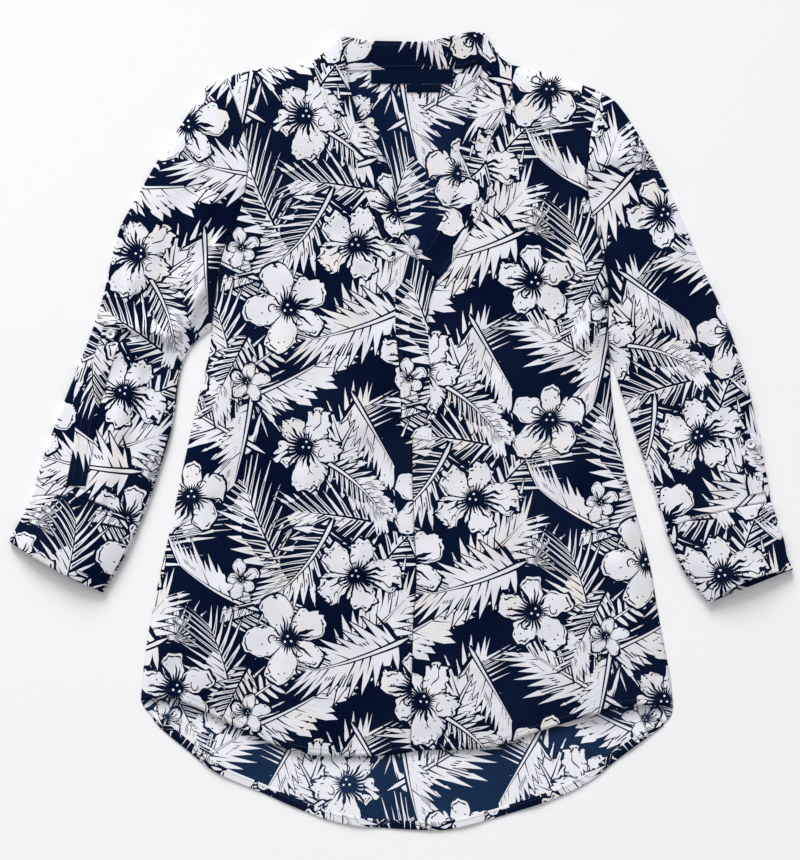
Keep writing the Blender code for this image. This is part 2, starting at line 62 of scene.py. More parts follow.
# %% Outlines of the neck, x and y
COLLAR_TOP = [(-67, 434), (-55, 432), (-38, 429), (-2, 427.5), (26, 427.5), (48, 431.5), (68, 436.5),
              (80, 438.5), (91, 437)]
NECK_SEAM = [(-96, 407.5), (-78, 398), (-60, 396), (0, 397.5), (66, 398), (88, 404), (118, 405)]
print("the neck seam is", NECK_SEAM[-1][0] - NECK_SEAM[0][0], "mm wide")

# %% Outlines of the wearer's right half
RIGHT = {
    "shoulder": [(-193, 389), (-155, 398), (-113, 403.5), (-99, 405)],
    "side": [(-286, -297), (-284, -270), (-279, -230), (-268, -172), (-252, -100), (-239, -38),
        (-221, 43), (-211, 84), (-208, 110)],
    "armhole": [(-208, 110), (-199, 177), (-190, 210), (-179, 234), (-170, 265), (-167, 303),
        (-172, 330), (-180, 356), (-193, 389)],
    "outer": [(-193, 389), (-215, 378), (-235, 346), (-266, 298), (-294, 249), (-309, 221),
        (-328, 144), (-343, 100), (-375, 21), (-395, -34), (-406, -71)],
    "inner": [(-209, 110), (-229, 93), (-242, 64), (-249, 14), (-260, -27), (-276, -76), (-288, -105)],
    "cuff_outer": [(-406, -71), (-413, -88), (-422, -105), (-431, -121)],
    "cuff_inner": [(-288, -105), (-299, -129), (-311, -151), (-327, -178)],
    "cuff_bow": (14.0, -3.0),
    "cuff_gape": 0.8,
    "hem": [(-286, -296), (-270, -292.5), (-250, -293), (-218, -306), (-176, -327), (-141, -343),
        (-110, -353), (-78, -357), (-14, -356), (10.5, -353)],
    "centre": [(10.5, -353), (13, -215), (16.5, -165), (14.5, -108), (12.5, -60), (12, 60), (12, 166)],
    "neckline": [(12, 166), (-4, 200), (-18, 213), (-27, 240), (-38, 268), (-44, 293), (-53, 317),
        (-67, 338), (-78, 358), (-87, 381), (-93, 397), (-99, 405)],
    "tab": [(-314.5, 117), (-320, 98), (-328, 72), (-335, 50), (-341, 28), (-346, 6), (-348, -16),
        (-352, -40), (-356, -61)],
    "button": (-318, 106),
}
print("right half:", ", ".join(RIGHT))

# %% Outlines of the wearer's left half
LEFT = {
    "shoulder": [(222, 372), (180, 387), (150, 396), (121, 402.5)],
    "side": [(299, -303), (296, -270), (290, -240), (281, -190), (273, -144), (258, -89), (240, -17),
        (231, 45), (230, 76)],
    "armhole": [(230, 76), (227, 97), (227, 134), (226, 170), (213, 223), (205, 260), (205, 300),
        (210, 335), (222, 372)],
    "outer": [(222, 372), (238, 360), (264, 320), (300, 251), (331, 178), (353, 131), (377, 62),
        (392, 1), (403, -54), (407, -78)],
    "inner": [(231, 76), (240, 45), (252, 10), (275, -59), (290, -108)],
    "cuff_outer": [(407, -78), (414, -100), (421, -121), (424, -138), (431, -152)],
    "cuff_inner": [(290, -108), (299, -130), (312, -156), (337, -190)],
    "cuff_bow": (4.0, 0.0),
    "cuff_gape": 8.0,
    "hem": [(299, -303), (273, -301), (247, -303), (209, -312), (151, -330), (96, -348), (20, -351),
        (11.1, -353)],
    "centre": [(11.1, -353), (13.6, -215), (17.1, -165), (15.1, -108), (13.1, -60), (12.6, 60),
        (12.6, 166)],
    "neckline": [(12.6, 166), (42, 168), (56, 189), (70, 214), (84, 240), (93, 262), (94, 281),
        (91, 302), (96, 320), (107, 342), (112, 358), (118, 377), (119, 395), (121, 402.5)],
    "tab": [(384, -3), (383.5, -20), (384.5, -38), (387, -54), (390, -69)],
    "button": (383, -14),
}
print("left half:", ", ".join(LEFT))

# %% Outlines of the tail, the bands and the labels
BACK_HEM = [(-286, -297), (-283.5, -304), (-276, -313), (-264, -327), (-235, -351), (-204, -375),
    (-157, -396), (-94, -423), (-56, -433), (-12, -437), (32, -439), (54, -438), (98, -427),
    (164, -406), (206, -386), (237, -362), (268, -339), (287, -325), (295.5, -317), (299, -309),
    (299, -303)]

# The collar band beside the neck: seam x, seam y, free edge x, free edge y
RIGHT_BAND = [(-95, 398, -61, 400), (-90, 380, -57, 378), (-82, 357, -50, 357), (-70, 338, -40, 334),
    (-56, 317, -26, 312), (-48, 292, -12, 287), (-42, 268, -7, 262), (-31, 240, 0, 232),
    (-21, 212, 7, 212), (-5.5, 199, 17.6, 188.4)]
LEFT_BAND = [(121, 392, 90, 416), (121, 376, 88, 399), (115, 358, 82, 380), (110, 342, 77, 358),
    (99, 320, 69, 335), (94, 301, 64, 310), (97, 281, 66, 290), (96, 261, 66, 273), (87, 239, 57, 256),
    (73, 213, 43, 227), (58, 188, 28, 204), (41, 165.5, 18.6, 187)]

PLACKET_LEFT = [(0, -6), (-1, 56), (-6, 111), (-6, 175), (-5.8, 198)]
PLACKET_RIGHT = [(34, -11), (32, 34), (30, 100), (31, 140), (40, 164.5)]
PLACKET_TOP = [(-5.8, 198), (18, 187), (40, 164.5)]

NECK_LABEL = (-33, 381.5, 57, 403)     # x and y of two opposite corners
SIZE_LABEL = (6, 372, 44, 381.1)
print("the tail is", BACK_HEM[-1][0] - BACK_HEM[0][0], "mm wide")

# %% [markdown]
# ## Lines on the table
#
# A few small tools do most of the drawing. `at_shares` runs a soft curve through the points of
# an outline and reads it at chosen shares of its length. `distance` says how far each point of
# the cloth is from a line, which is how edges and folds know where they are. `patch` fills four
# edges with a grid, like a cloth stretched in a frame; the mesh is that grid.

# %% Soft curves
CURVE_STEPS = 16      # points on the curve between one point of a table and the next


def at_shares(points, shares):
    """A soft curve through the points, read at shares of its length."""
    knots = np.asarray(points, float)
    padded = np.concatenate([2 * knots[:1] - knots[1:2], knots, 2 * knots[-1:] - knots[-2:-1]])
    step = np.linspace(0, 1, CURVE_STEPS, endpoint=False)[:, None]
    cubed, squared = step ** 3, step ** 2
    stretches = []
    for before, start, end, after in zip(padded, padded[1:], padded[2:], padded[3:]):
        span = max(np.linalg.norm(end - start), 1e-6)
        leave = (end - before) * span / max(np.linalg.norm(end - before), 1e-6)
        arrive = (after - start) * span / max(np.linalg.norm(after - start), 1e-6)
        stretches.append((2 * cubed - 3 * squared + 1) * start + (cubed - 2 * squared + step) * leave
                         + (3 * squared - 2 * cubed) * end + (cubed - squared) * arrive)
    line = np.concatenate(stretches + [knots[-1:]])
    run = run_of(line)
    wanted = np.asarray(shares) * run[-1]
    return np.stack([np.interp(wanted, run, line[:, axis]) for axis in range(line.shape[1])], 1)


def run_of(line):
    """How far along a polyline each of its points is."""
    return np.concatenate([[0.0], np.cumsum(np.linalg.norm(np.diff(line, axis=0), axis=1))])


def smooth(points, steps):
    """A soft curve through the points, in equal steps."""
    return at_shares(points, np.linspace(0, 1, steps + 1))


def join(*lines):
    """Lines put end to end, each shared end once."""
    return np.concatenate([lines[0]] + [line[1:] for line in lines[1:]])


def length_of(line):
    """Length of a polyline."""
    return np.linalg.norm(np.diff(np.asarray(line, float), axis=0), axis=1).sum()


for side, half in (("right", RIGHT), ("left", LEFT)):
    print(side, "armhole", round(length_of(smooth(half["armhole"], 60))), "mm,",
          "side seam", round(length_of(smooth(half["side"], 60))), "mm")

# %% Distances and grids


def from_stretch(x, y, start, end):
    """How far points are from a straight stretch, and at which share of it they are closest."""
    (x0, y0), (x1, y1) = start, end
    run, rise = x1 - x0, y1 - y0
    share = ((x - x0) * run + (y - y0) * rise) / max(run * run + rise * rise, 1e-9)
    share = np.clip(share, 0, 1)
    return np.hypot(x - x0 - share * run, y - y0 - share * rise), share


def distance(x, y, line):
    """Least distance from each point to a polyline."""
    return np.minimum.reduce([from_stretch(x, y, *ends)[0] for ends in zip(line, line[1:])])


def nearest(x, y, lines):
    """Least distance from each point to any of several polylines."""
    return np.minimum.reduce([distance(x, y, line) for line in lines])


def side_distance(x, y, line):
    """Distance from a polyline, below 0 on its right, and the share of its length there."""
    least_away = np.full(np.shape(x), np.inf)
    signed, place = np.zeros(np.shape(x)), np.zeros(np.shape(x))
    for index, (start, end) in enumerate(zip(line, line[1:])):
        away, share = from_stretch(x, y, start, end)
        side = np.sign((end[0] - start[0]) * (y - start[1]) - (end[1] - start[1]) * (x - start[0]))
        closer = away < least_away
        signed = np.where(closer, away * side, signed)
        place = np.where(closer, (index + share) / (len(line) - 1), place)
        least_away = np.minimum(least_away, away)
    return signed, place


def patch(bottom, top, left, right, across, along):
    """A grid between four edges, with columns at the shares across and rows at the shares along."""
    bottom, top = at_shares(bottom, across), at_shares(top, across)
    across, along = np.asarray(across)[None, :, None], np.asarray(along)[:, None, None]
    ruled = (1 - along) * bottom[None] + along * top[None]
    ruled = ruled + (1 - across) * left[:, None] + across * right[:, None]
    corners = (1 - along) * ((1 - across) * bottom[0] + across * bottom[-1])
    corners = corners + along * ((1 - across) * top[0] + across * top[-1])
    return ruled - corners


def shifted(line, amount):
    """A line moved sideways, to its left for a positive amount."""
    run = np.gradient(line, axis=0)
    normal = np.stack([-run[:, 1], run[:, 0]], 1) / np.linalg.norm(run, axis=1)[:, None]
    return line + normal * amount

# %% [markdown]
# ## How high the upper layer lies
#
# Two layers of lawn with air between them lie a few millimetres high, and they come down to
# nothing at a folded edge. One height over the table, `upper_height`, will serve the fronts,
# the sleeves and all that is sewn on them, so no piece sinks into another.
#
# Folds are soft ridges and troughs along listed lines. Cloth simulation would make folds
# of its own choosing; a table puts them where this shirt has them, and it costs no time.

# %% The largest folds
FOLD_LIFT = 1.8       # folds of thin cloth stand out more than those of the thick solids

# x and y of both ends, half width, height
FOLDS = [
    (-62, 150, -52, 10, 24, 2.2), (-38, 170, -30, 30, 13, -1.2), (-95, 330, -70, 235, 16, 1.4),
    (-150, 250, -140, 120, 20, -1.0), (-128, 210, -122, 70, 16, 1.3), (-190, 60, -206, -60, 18, 1.6),
    (-176, -130, -205, -270, 24, 1.7), (-90, -120, -96, -330, 26, 1.5), (-30, -150, -34, -340, 16, -0.9),
    (196, 300, 214, 110, 13, 2.4), (181, 280, 192, 120, 10, -1.4), (150, 230, 158, 60, 18, 1.2),
    (225, 0, 258, -110, 14, 2.2), (205, -20, 232, -130, 11, -1.2), (120, 40, 112, -120, 22, 1.1),
    (84, -140, 100, -330, 24, 1.6), (190, -150, 214, -300, 24, 1.6), (70, 110, 66, -20, 14, 1.2),
    (-326, 122, -256, 104, 9, 3.6), (-252, 104, -222, 150, 12, 2.2), (-232, 150, -214, 250, 12, 1.8),
    (-262, 250, -284, 170, 16, 1.8), (-300, 40, -322, -50, 14, 2.0), (-280, 60, -300, -20, 10, -1.2),
    (-240, 330, -262, 270, 14, 1.2), (356, 92, 370, 44, 9, 3.0), (370, 44, 383, 6, 8, 2.4),
    (262, 130, 300, 30, 14, 2.2), (246, 200, 268, 120, 13, 1.8), (300, 190, 322, 110, 16, 1.6),
    (330, 40, 352, -50, 15, 1.8), (300, -20, 326, -90, 11, 1.4), (250, 320, 276, 262, 14, 1.2),
]
print(len(FOLDS), "folds, of which", sum(row[-1] < 0 for row in FOLDS), "are troughs")

# %% [markdown]
# ## Finer creases
#
# A crease of real cloth bends on its way, has a gentle side and a steep side, and dies out at
# its ends. So each row has a start, a middle and an end, and a width for either side of the
# line. No two are alike in length, depth or spacing, because hands never smooth cloth evenly.

# %% Finer creases
# x and y of start, middle and end, width on the left and on the right, height
CREASES = [
    (-186, 318, -160, 250, -152, 190, 7, 14, 1.3), (-150, 372, -128, 330, -118, 280, 9, 16, 0.9),
    (-205, 130, -170, 96, -120, 80, 8, 15, 1.2), (-206, 96, -176, 52, -150, -10, 12, 7, 1.1),
    (-226, 20, -214, -60, -222, -130, 8, 13, 1.0), (-104, 60, -96, -20, -112, -90, 14, 9, 0.9),
    (-40, -60, -50, -130, -44, -200, 10, 16, 0.9), (-150, -30, -158, -110, -148, -190, 16, 9, 0.9),
    (-240, -150, -246, -210, -262, -270, 9, 14, 1.3), (-128, -230, -134, -290, -128, -340, 13, 8, 1.1),
    (-60, -240, -58, -300, -62, -350, 8, 14, 1.0), (-4, -210, -8, -280, -2, -345, 9, 12, 0.8),
    (-14, 120, -24, 60, -20, -30, 6, 11, 0.9), (-70, 215, -52, 190, -20, 178, 7, 12, 0.9),
    (212, 320, 190, 240, 196, 170, 6, 12, 1.5), (216, 130, 196, 92, 160, 70, 9, 16, 1.3),
    (226, 70, 206, 30, 188, -30, 7, 13, 1.1), (120, 330, 140, 280, 146, 220, 10, 15, 0.8),
    (60, 150, 86, 132, 128, 130, 8, 13, 0.9), (44, 60, 50, -10, 44, -80, 7, 12, 0.9),
    (84, 20, 80, -60, 88, -130, 14, 9, 0.8), (160, -10, 166, -80, 178, -150, 9, 15, 1.1),
    (236, -60, 248, -130, 262, -200, 8, 12, 1.5), (140, -200, 150, -270, 146, -325, 14, 9, 1.1),
    (48, -220, 54, -290, 50, -345, 9, 14, 0.9), (238, -220, 244, -260, 250, -300, 10, 7, 1.2),
    (30, -120, 40, -180, 34, -240, 12, 8, 0.8),
    (-200, 340, -214, 300, -240, 262, 6, 11, 1.2), (-192, 270, -214, 240, -236, 196, 6, 12, 1.4),
    (-206, 190, -226, 170, -256, 160, 7, 12, 1.3), (-300, 200, -296, 166, -306, 134, 9, 6, 1.2),
    (-194, 228, -215, 166, -236, 106, 7, 5, 2.4), (-186, 206, -202, 155, -213, 100, 6, 5, -1.9),
    (-248, 60, -262, 20, -266, -30, 6, 10, 1.3), (-322, 84, -300, 92, -270, 86, 5, 9, 1.6),
    (-290, 104, -284, 70, -296, 30, 7, 11, 1.0), (-366, 0, -360, -36, -372, -66, 8, 5, 1.2),
    (-322, -60, -330, -80, -342, -96, 5, 8, 1.0), (-288, -60, -296, -84, -300, -104, 5, 8, 0.9),
    (232, 330, 252, 290, 262, 240, 7, 12, 1.1), (228, 230, 246, 190, 252, 150, 6, 11, 1.3),
    (234, 120, 256, 90, 270, 50, 6, 10, 1.5), (284, 240, 296, 200, 300, 160, 9, 13, 0.9),
    (330, 140, 338, 100, 336, 60, 8, 12, 1.0), (366, 60, 372, 20, 370, -20, 5, 9, 1.1),
    (284, 20, 300, -10, 306, -50, 6, 10, 1.3), (380, -30, 372, -60, 376, -84, 6, 9, 0.9),
    (208, 286, 236, 298, 270, 288, 10, 6, 1.5), (244, 356, 256, 326, 280, 304, 7, 11, 1.3),
    (276, 170, 300, 146, 312, 112, 6, 12, 1.4), (222, 74, 234, 20, 240, -40, 6, 12, 1.3),
]
print(len(CREASES), "creases")

# %% [markdown]
# ## Edges, seams and loose cloth
#
# The loft, which is the air between the layers, depends on where a point is. It is least at a
# folded edge, less where the body is open at the neck and the hem, and most in the sleeves,
# whose turned-up ends are stiff tubes of many layers that don't lie down. A seam pulls the
# cloth into a ditch with small gathers beside it. Slow swells keep the rest from being flat.

# %% Loft, seams and swells
LOFT = 5.6            # how far the upper layer stands off the lower one, away from the edges
LOFT_RUN = 14.0       # distance from a folded edge in which it gets there
NECK_SHARE, HEM_SHARE = 0.8, 0.35     # shares of that left at the neck and the front hem
OPEN_RUN = 60.0       # distance from the neck or the hem in which all of it is back
EDGE_TOP = 2.7        # height of the solids' upper layer at a folded edge
EDGE_FOLD = 1.0       # height of the cloth itself there
EDGE_ROUND = 3.0      # distance over which it rolls down
CUFF_LIFT = 6.5       # how much higher a sleeve stands at its open end
CUFF_RUN = 125.0      # distance from the end in which it comes down again
SLEEVE_ROLL = 4.5     # how much fuller the folded edges of a sleeve are than those of the body
ROLL_RUN = 9.0        # how far in from the edge that fullness reaches
ROLL_START = 90.0     # distance from the armhole in which it comes
SEAM_DIP, SEAM_WIDTH = 1.1, 2.2       # the ditch along an armhole seam
PUCKER, PUCKER_REACH = 0.16, 9.0      # small gathers that a seam or a hem makes beside it
PUCKER_ACROSS, PUCKER_ALONG = (2.9, 31.0), (2.6, 27.0)    # their fine and slow wave lengths over 2 pi
SHOULDER_FOLDS = [np.array([(-99, 405), (-66, 434)]), np.array([(121, 402.5), (91, 436)])]

# Slow swells of loose cloth: wave length, direction in degrees, height, phase
SWELLS = [(96, 20, 0.34, 0.3), (71, 75, 0.28, 1.9), (58, 128, 0.24, 4.1), (43, 160, 0.16, 2.7),
          (31, 48, 0.10, 5.2), (27, 102, 0.08, 0.8)]

FOLDED_EDGES = list(SHOULDER_FOLDS)
SLEEVE_EDGES = []
for half in (RIGHT, LEFT):
    sleeve_edges = [smooth(half["outer"] + half["cuff_outer"][1:], 30),
                    smooth(half["inner"] + half["cuff_inner"][1:], 20)]
    SLEEVE_EDGES += sleeve_edges
    FOLDED_EDGES += [smooth(half["shoulder"], 8), smooth(half["side"], 24)] + sleeve_edges
NECK_EDGES = [smooth([row[2:] for row in band], 16) for band in (RIGHT_BAND, LEFT_BAND)]
HEM_EDGES = [smooth(half["hem"], 12) for half in (RIGHT, LEFT)]
ARMHOLES = [smooth(half["armhole"], 30) for half in (RIGHT, LEFT)]
CUFF_ENDS = [np.array([half["cuff_outer"][-1], half["cuff_inner"][-1]], float) for half in (RIGHT, LEFT)]
print(len(FOLDED_EDGES), "folded edges and", len(SWELLS), "swells")

# %% The height of the upper layer


def swell(x, y):
    """Height of the slow swells."""
    total = np.zeros(np.shape(x))
    for wave, direction, height, phase in SWELLS:
        turn = math.radians(direction)
        along = x * math.cos(turn) + y * math.sin(turn)
        total += height * np.sin(2 * math.pi * along / wave + phase)
    return total


def pucker(x, y):
    """Small gathers, from -2 to 2."""
    (fine_x, slow_y), (fine_y, slow_x) = PUCKER_ACROSS, PUCKER_ALONG
    return np.sin(x / fine_x + 2 * np.sin(y / slow_y)) + np.sin(y / fine_y + 2 * np.sin(x / slow_x))


def upper_height(x, y, edge=EDGE_FOLD):
    """Height of the upper layer's outer face over the table."""
    x, y = np.asarray(x, float), np.asarray(y, float)
    from_edge, from_seam = nearest(x, y, FOLDED_EDGES), nearest(x, y, ARMHOLES)
    from_neck, from_hem = nearest(x, y, NECK_EDGES), nearest(x, y, HEM_EDGES)
    rise = 1 - np.exp(-from_edge / LOFT_RUN)
    lost_at_neck = (1 - NECK_SHARE) * np.exp(-from_neck / OPEN_RUN)
    lost_at_hem = (1 - HEM_SHARE) * np.exp(-from_hem / OPEN_RUN)
    settled = 1 - lost_at_neck - lost_at_hem
    height = EDGE_TOP - (EDGE_TOP - edge) * np.exp(-from_edge / EDGE_ROUND) + LOFT * rise * settled
    for x0, y0, x1, y1, width, lift in FOLDS:
        away = distance(x, y, [(x0, y0), (x1, y1)])
        height = height + FOLD_LIFT * lift * rise * np.exp(-(away / width) ** 2)
    for x0, y0, xm, ym, x1, y1, left, right, lift in CREASES:
        away, place = side_distance(x, y, smooth([(x0, y0), (xm, ym), (x1, y1)], 5))
        width = np.where(away > 0, left, right)
        fade = (4 * place * (1 - place) + 0.02) ** 0.6
        height = height + FOLD_LIFT * lift * rise * fade * np.exp(-(away / width) ** 2)
    from_cuff = nearest(x, y, CUFF_ENDS)
    height = height + CUFF_LIFT * rise ** 2 * np.exp(-(from_cuff / CUFF_RUN) ** 2)
    height = height + swell(x, y) * rise - SEAM_DIP * rise * np.exp(-from_seam / SEAM_WIDTH)
    rolled = SLEEVE_ROLL * (1 - np.exp(-(from_seam / ROLL_START) ** 2))
    height = height + rolled * np.exp(-nearest(x, y, SLEEVE_EDGES) / ROLL_RUN)
    from_stitches = np.minimum.reduce([from_seam, from_neck, from_hem])
    height = height + PUCKER * pucker(x, y) * rise * np.exp(-from_stitches / PUCKER_REACH)
    return np.maximum(height, edge)


for name, x, y in (("chest", -120, 200), ("sleeve", 310, 150), ("side seam", -240, -40)):
    print("height at the", name, round(float(upper_height(x, y)), 1), "mm")

# %% [markdown]
# ## The printed pattern, as a repeat
#
# A screen-printed cloth repeats a tile. Here the tile is 264 mm wide and 363 mm high and holds
# palm fronds, ferns, toothed leaves and flowers. Each row places one motif by its middle, its
# turn and its size, in the order in which they are painted.
#
# Nothing is painted yet. For every face of the cloth we only note where that face lies on the
# motif over it, as two numbers, and the material draws the motif from those numbers. Because
# the drawing is a formula, its lines stay crisp however close the camera comes.

# %% The motifs of one repeat
TILE = np.array([264.0, 363.0])
FEATHER, FAN, FERN, BLADE, WING, HIBISCUS, BLOSSOM = range(7)

# style, x and y of its middle, turn in degrees, size in mm
MOTIFS = [
    (FEATHER, 34, 16, 60, 104), (FEATHER, 140, 30, 118, 108), (FEATHER, 226, 40, 165, 100),
    (FEATHER, 236, 128, 75, 96), (FEATHER, 84, 142, 150, 106), (FEATHER, 112, 240, 95, 104),
    (FEATHER, 240, 232, 205, 104), (FEATHER, 16, 278, 40, 104), (FEATHER, 196, 330, 245, 98),
    (WING, 128, 104, 262, 92), (WING, 190, 186, 20, 96), (WING, 84, 316, 160, 92), (WING, 12, 118, 300, 84),
    (FAN, 152, 142, 300, 60), (FAN, 60, 296, 75, 60), (BLADE, 106, 186, 240, 88), (BLADE, 2, 66, 330, 84),
    (BLADE, 150, 296, 20, 84), (FERN, 166, 216, 30, 62), (FERN, 10, 224, 160, 58), (FERN, 258, 8, 80, 56),
    (HIBISCUS, 70, 58, 15, 49), (HIBISCUS, 196, 112, 60, 48), (HIBISCUS, 54, 208, 95, 50),
    (HIBISCUS, 176, 262, 40, 49), (HIBISCUS, 250, 334, 70, 48),
    (BLOSSOM, 132, 182, 10, 23), (BLOSSOM, 126, 328, 30, 22),
]
print(len(MOTIFS), "motifs in a repeat of", *TILE.astype(int), "mm")

# %% [markdown]
# ## Where a motif can be
#
# A leaf is measured in its own length, from its root at 0 to its tip at 1, and a flower in its
# own radius, from its centre. `covers` says roughly which points of the cloth a motif can
# reach, a little more than it really does. Each motif has a seed, a number that will decide
# in the material how its rib bends and whether it is hatched, ragged or plain.

# %% Where a motif can be
NOWHERE = 9.0        # the place noted on faces that no motif of a layer covers
MIDDLE = 0.6         # where a leaf's middle is, in its own lengths from its root
SEEDS = 64           # how many different seeds there are
SEED_STEP = 23       # from one motif's seed to the next, so that neighbours differ

# Leaves, by style: feather, fan, fern, blade, wing
LEAN = (0.30, 0.0, 0.35, 0.55, 0.5)          # how far forward the first leaflet leans
FANNING = (1.5, 0.0, 0.3, 0.9, 1.2)          # how much more the last one does
SPREAD = (0.60, 1.0, 0.33, 0.40, 0.56)       # length of the longest leaflet
LEAST, MORE = 0.30, 0.70                     # share of that at the root, and what the middle adds
FROM, TURN = 0.45, 2.1                       # where on a sine wave that begins, and how far it goes
FAN_OPEN = 3.4                               # the angle of a fan, in radians
BEND = 0.55                                  # how strongly a rib can bend


def seed_of(index):
    """A number from 0 to 1, one of SEEDS, that makes each motif its own."""
    return (index * SEED_STEP % (SEEDS - 3) + 0.5) / SEEDS


def covers(style, seed, local):
    """Whether points, in a motif's own lengths, can lie on the motif."""
    x, y = local.T
    if style in (HIBISCUS, BLOSSOM):
        return np.hypot(x, y) < 1.2
    if style == FAN:
        return (np.hypot(x, y) < 1.1) & (abs(np.arctan2(y, x)) < FAN_OPEN / 2 + 0.1)
    y = y - (seed - 0.5) * BEND * x * x
    lean, fanning = LEAN[style], FANNING[style]
    root = (x - abs(y) * lean) / (1 + abs(y) * fanning)
    inside = np.clip(root, 0, 1)
    long = SPREAD[style] * (LEAST + MORE * np.sin(FROM + inside * TURN))
    out = abs(y) * np.sqrt(1 + (lean + fanning * inside) ** 2) / long
    stem = (x > -0.18) & (x < 1) & (abs(y) < 0.07)
    one_sided = (style != WING) | (y < 0)
    return (root > -0.08) & (root < 1.08) & (out < 1.12) & one_sided | stem


def on_motif(places, row):
    """Points of the cloth in a motif's own lengths, from its nearest copy."""
    style, x, y, direction, size = row
    angle = math.radians(direction)
    axes = np.array([[math.cos(angle), -math.sin(angle)], [math.sin(angle), math.cos(angle)]])
    away = places - (x, y)
    middles = away.mean(-2, keepdims=True)
    local = (away - np.round(middles / TILE) * TILE) @ axes / size
    return local + (0 if style in (HIBISCUS, BLOSSOM) else MIDDLE, 0)


print("the first seeds:", *(round(seed_of(index), 2) for index in range(4)))

# %% [markdown]
# ## Layers
#
# A face of the mesh can note one motif in each layer. Motifs that overlap go in different
# layers, and a higher layer is painted over a lower one. The flowers have a layer of their own
# on top, since the material that draws them is another.

# %% Sort the motifs in layers
LEAF_LAYERS = ["leaf_1", "leaf_2", "leaf_3", "leaf_4"]
FLOWER_LAYERS = ["flower_1"]
DOT_STEP = 4.0       # millimetres between the dots on which an overlap is measured


def sort_in_layers():
    """Puts each motif in the first layer where it overlaps none that is there."""
    steps = [np.arange(0, side, DOT_STEP) for side in TILE]
    spots = np.stack(np.meshgrid(*steps), -1).reshape(-1, 1, 2)
    layers = {layer: [] for layer in LEAF_LAYERS + FLOWER_LAYERS}
    taken = {layer: np.zeros(len(spots), bool) for layer in layers}
    for index, row in enumerate(MOTIFS):
        names = FLOWER_LAYERS if row[0] in (HIBISCUS, BLOSSOM) else LEAF_LAYERS
        under = covers(row[0], seed_of(index), on_motif(spots, row)[:, 0])
        free = [name for name in names if not (under & taken[name]).any()]
        if not free:
            free = [min(names, key=lambda name: (under & taken[name]).sum())]
            share = (under & taken[free[0]]).sum() / under.sum()
            print("motif", index, "cuts", round(share, 2), "of", free[0])
        layers[free[0]].append(index)
        taken[free[0]] |= under
    return layers


LAYERS = sort_in_layers()
print({layer: len(members) for layer, members in LAYERS.items()})

# %% Note the motifs on a mesh


def note_motifs(mesh, corners, offset, turn, mirrored):
    """Writes on each face corner its place on the motif that covers the face, layer by layer."""
    spun = math.radians(turn)
    wheel = np.array([[math.cos(spun), -math.sin(spun)], [math.sin(spun), math.cos(spun)]])
    places = corners * (-1 if mirrored else 1, 1) @ wheel + np.asarray(offset, float)
    for layer, members in LAYERS.items():
        noted = np.zeros((*places.shape[:2], 3))
        noted[..., :2] = NOWHERE
        for index in members:
            style, seed = MOTIFS[index][0], seed_of(index)
            local = on_motif(places, MOTIFS[index])
            found = covers(style, seed, local.mean(1))
            noted[found, :, :2] = local[found]
            noted[found, :, 2] = style % HIBISCUS + seed
        attribute = mesh.attributes.new(layer, "FLOAT_VECTOR", "CORNER")
        attribute.data.foreach_set("vector", noted.astype(np.float32).ravel())

# %% [markdown]
# ## Writing sums with nodes
#
# A shader does arithmetic with Math nodes. A long formula as loose nodes is hard to read, so
# `Wire` wraps a socket and lets Python's own signs make the nodes: `a * b + 1` adds a Multiply
# and an Add node to the material.

# %% A small language for node sums


def sign_for(operation, swapped=False):
    """The method behind one of Python's signs, which makes a Math node."""
    def method(self, other):
        return math_node(operation, other, self) if swapped else math_node(operation, self, other)
    return method


class Wire:
    """A number that flows through a material; arithmetic on it adds Math nodes."""

    tree = None

    def __init__(self, socket):
        self.socket = socket

    def __abs__(self):
        return math_node("ABSOLUTE", self)

    __add__, __radd__ = sign_for("ADD"), sign_for("ADD", True)
    __sub__, __rsub__ = sign_for("SUBTRACT"), sign_for("SUBTRACT", True)
    __mul__, __rmul__ = sign_for("MULTIPLY"), sign_for("MULTIPLY", True)
    __truediv__, __pow__ = sign_for("DIVIDE"), sign_for("POWER")
    __lt__, __gt__ = sign_for("LESS_THAN"), sign_for("GREATER_THAN")


def feed(node, values):
    """Gives a node its inputs, which are wires or plain numbers."""
    for socket, value in zip(node.inputs, values):
        if isinstance(value, Wire):
            Wire.tree.links.new(value.socket, socket)
        else:
            socket.default_value = value


def math_node(operation, *values):
    """A Math node with these inputs, as a wire."""
    node = Wire.tree.nodes.new("ShaderNodeMath")
    node.operation = operation
    feed(node, values)
    return Wire(node.outputs[0])

# %% [markdown]
# ## Masks and functions
#
# A comparison gives 1 or 0, so it is a mask. The least of two masks is where both hold, and the
# most of them is where either does. The other functions here are single nodes.

# %% Masks and functions


def least(*values):
    """The least of several numbers; of masks, where all of them hold."""
    found = values[0]
    for value in values[1:]:
        found = math_node("MINIMUM", found, value)
    return found


def most(*values):
    """The greatest of several numbers; of masks, where any of them holds."""
    found = values[0]
    for value in values[1:]:
        found = math_node("MAXIMUM", found, value)
    return found


def part(value):
    """What is left of a number after its whole part is taken away."""
    return math_node("FRACT", value)


def whole(value):
    """The whole part of a number."""
    return math_node("FLOOR", value)


def sine(value):
    """The sine of an angle in radians."""
    return math_node("SINE", value)


def split(vector):
    """The x, y and z of a vector socket, as wires."""
    node = Wire.tree.nodes.new("ShaderNodeSeparateXYZ")
    Wire.tree.links.new(vector, node.inputs[0])
    return [Wire(socket) for socket in node.outputs]


def bundle(x, y, z=0.0):
    """A vector socket from three wires or numbers."""
    node = Wire.tree.nodes.new("ShaderNodeCombineXYZ")
    feed(node, (x, y, z))
    return node.outputs[0]

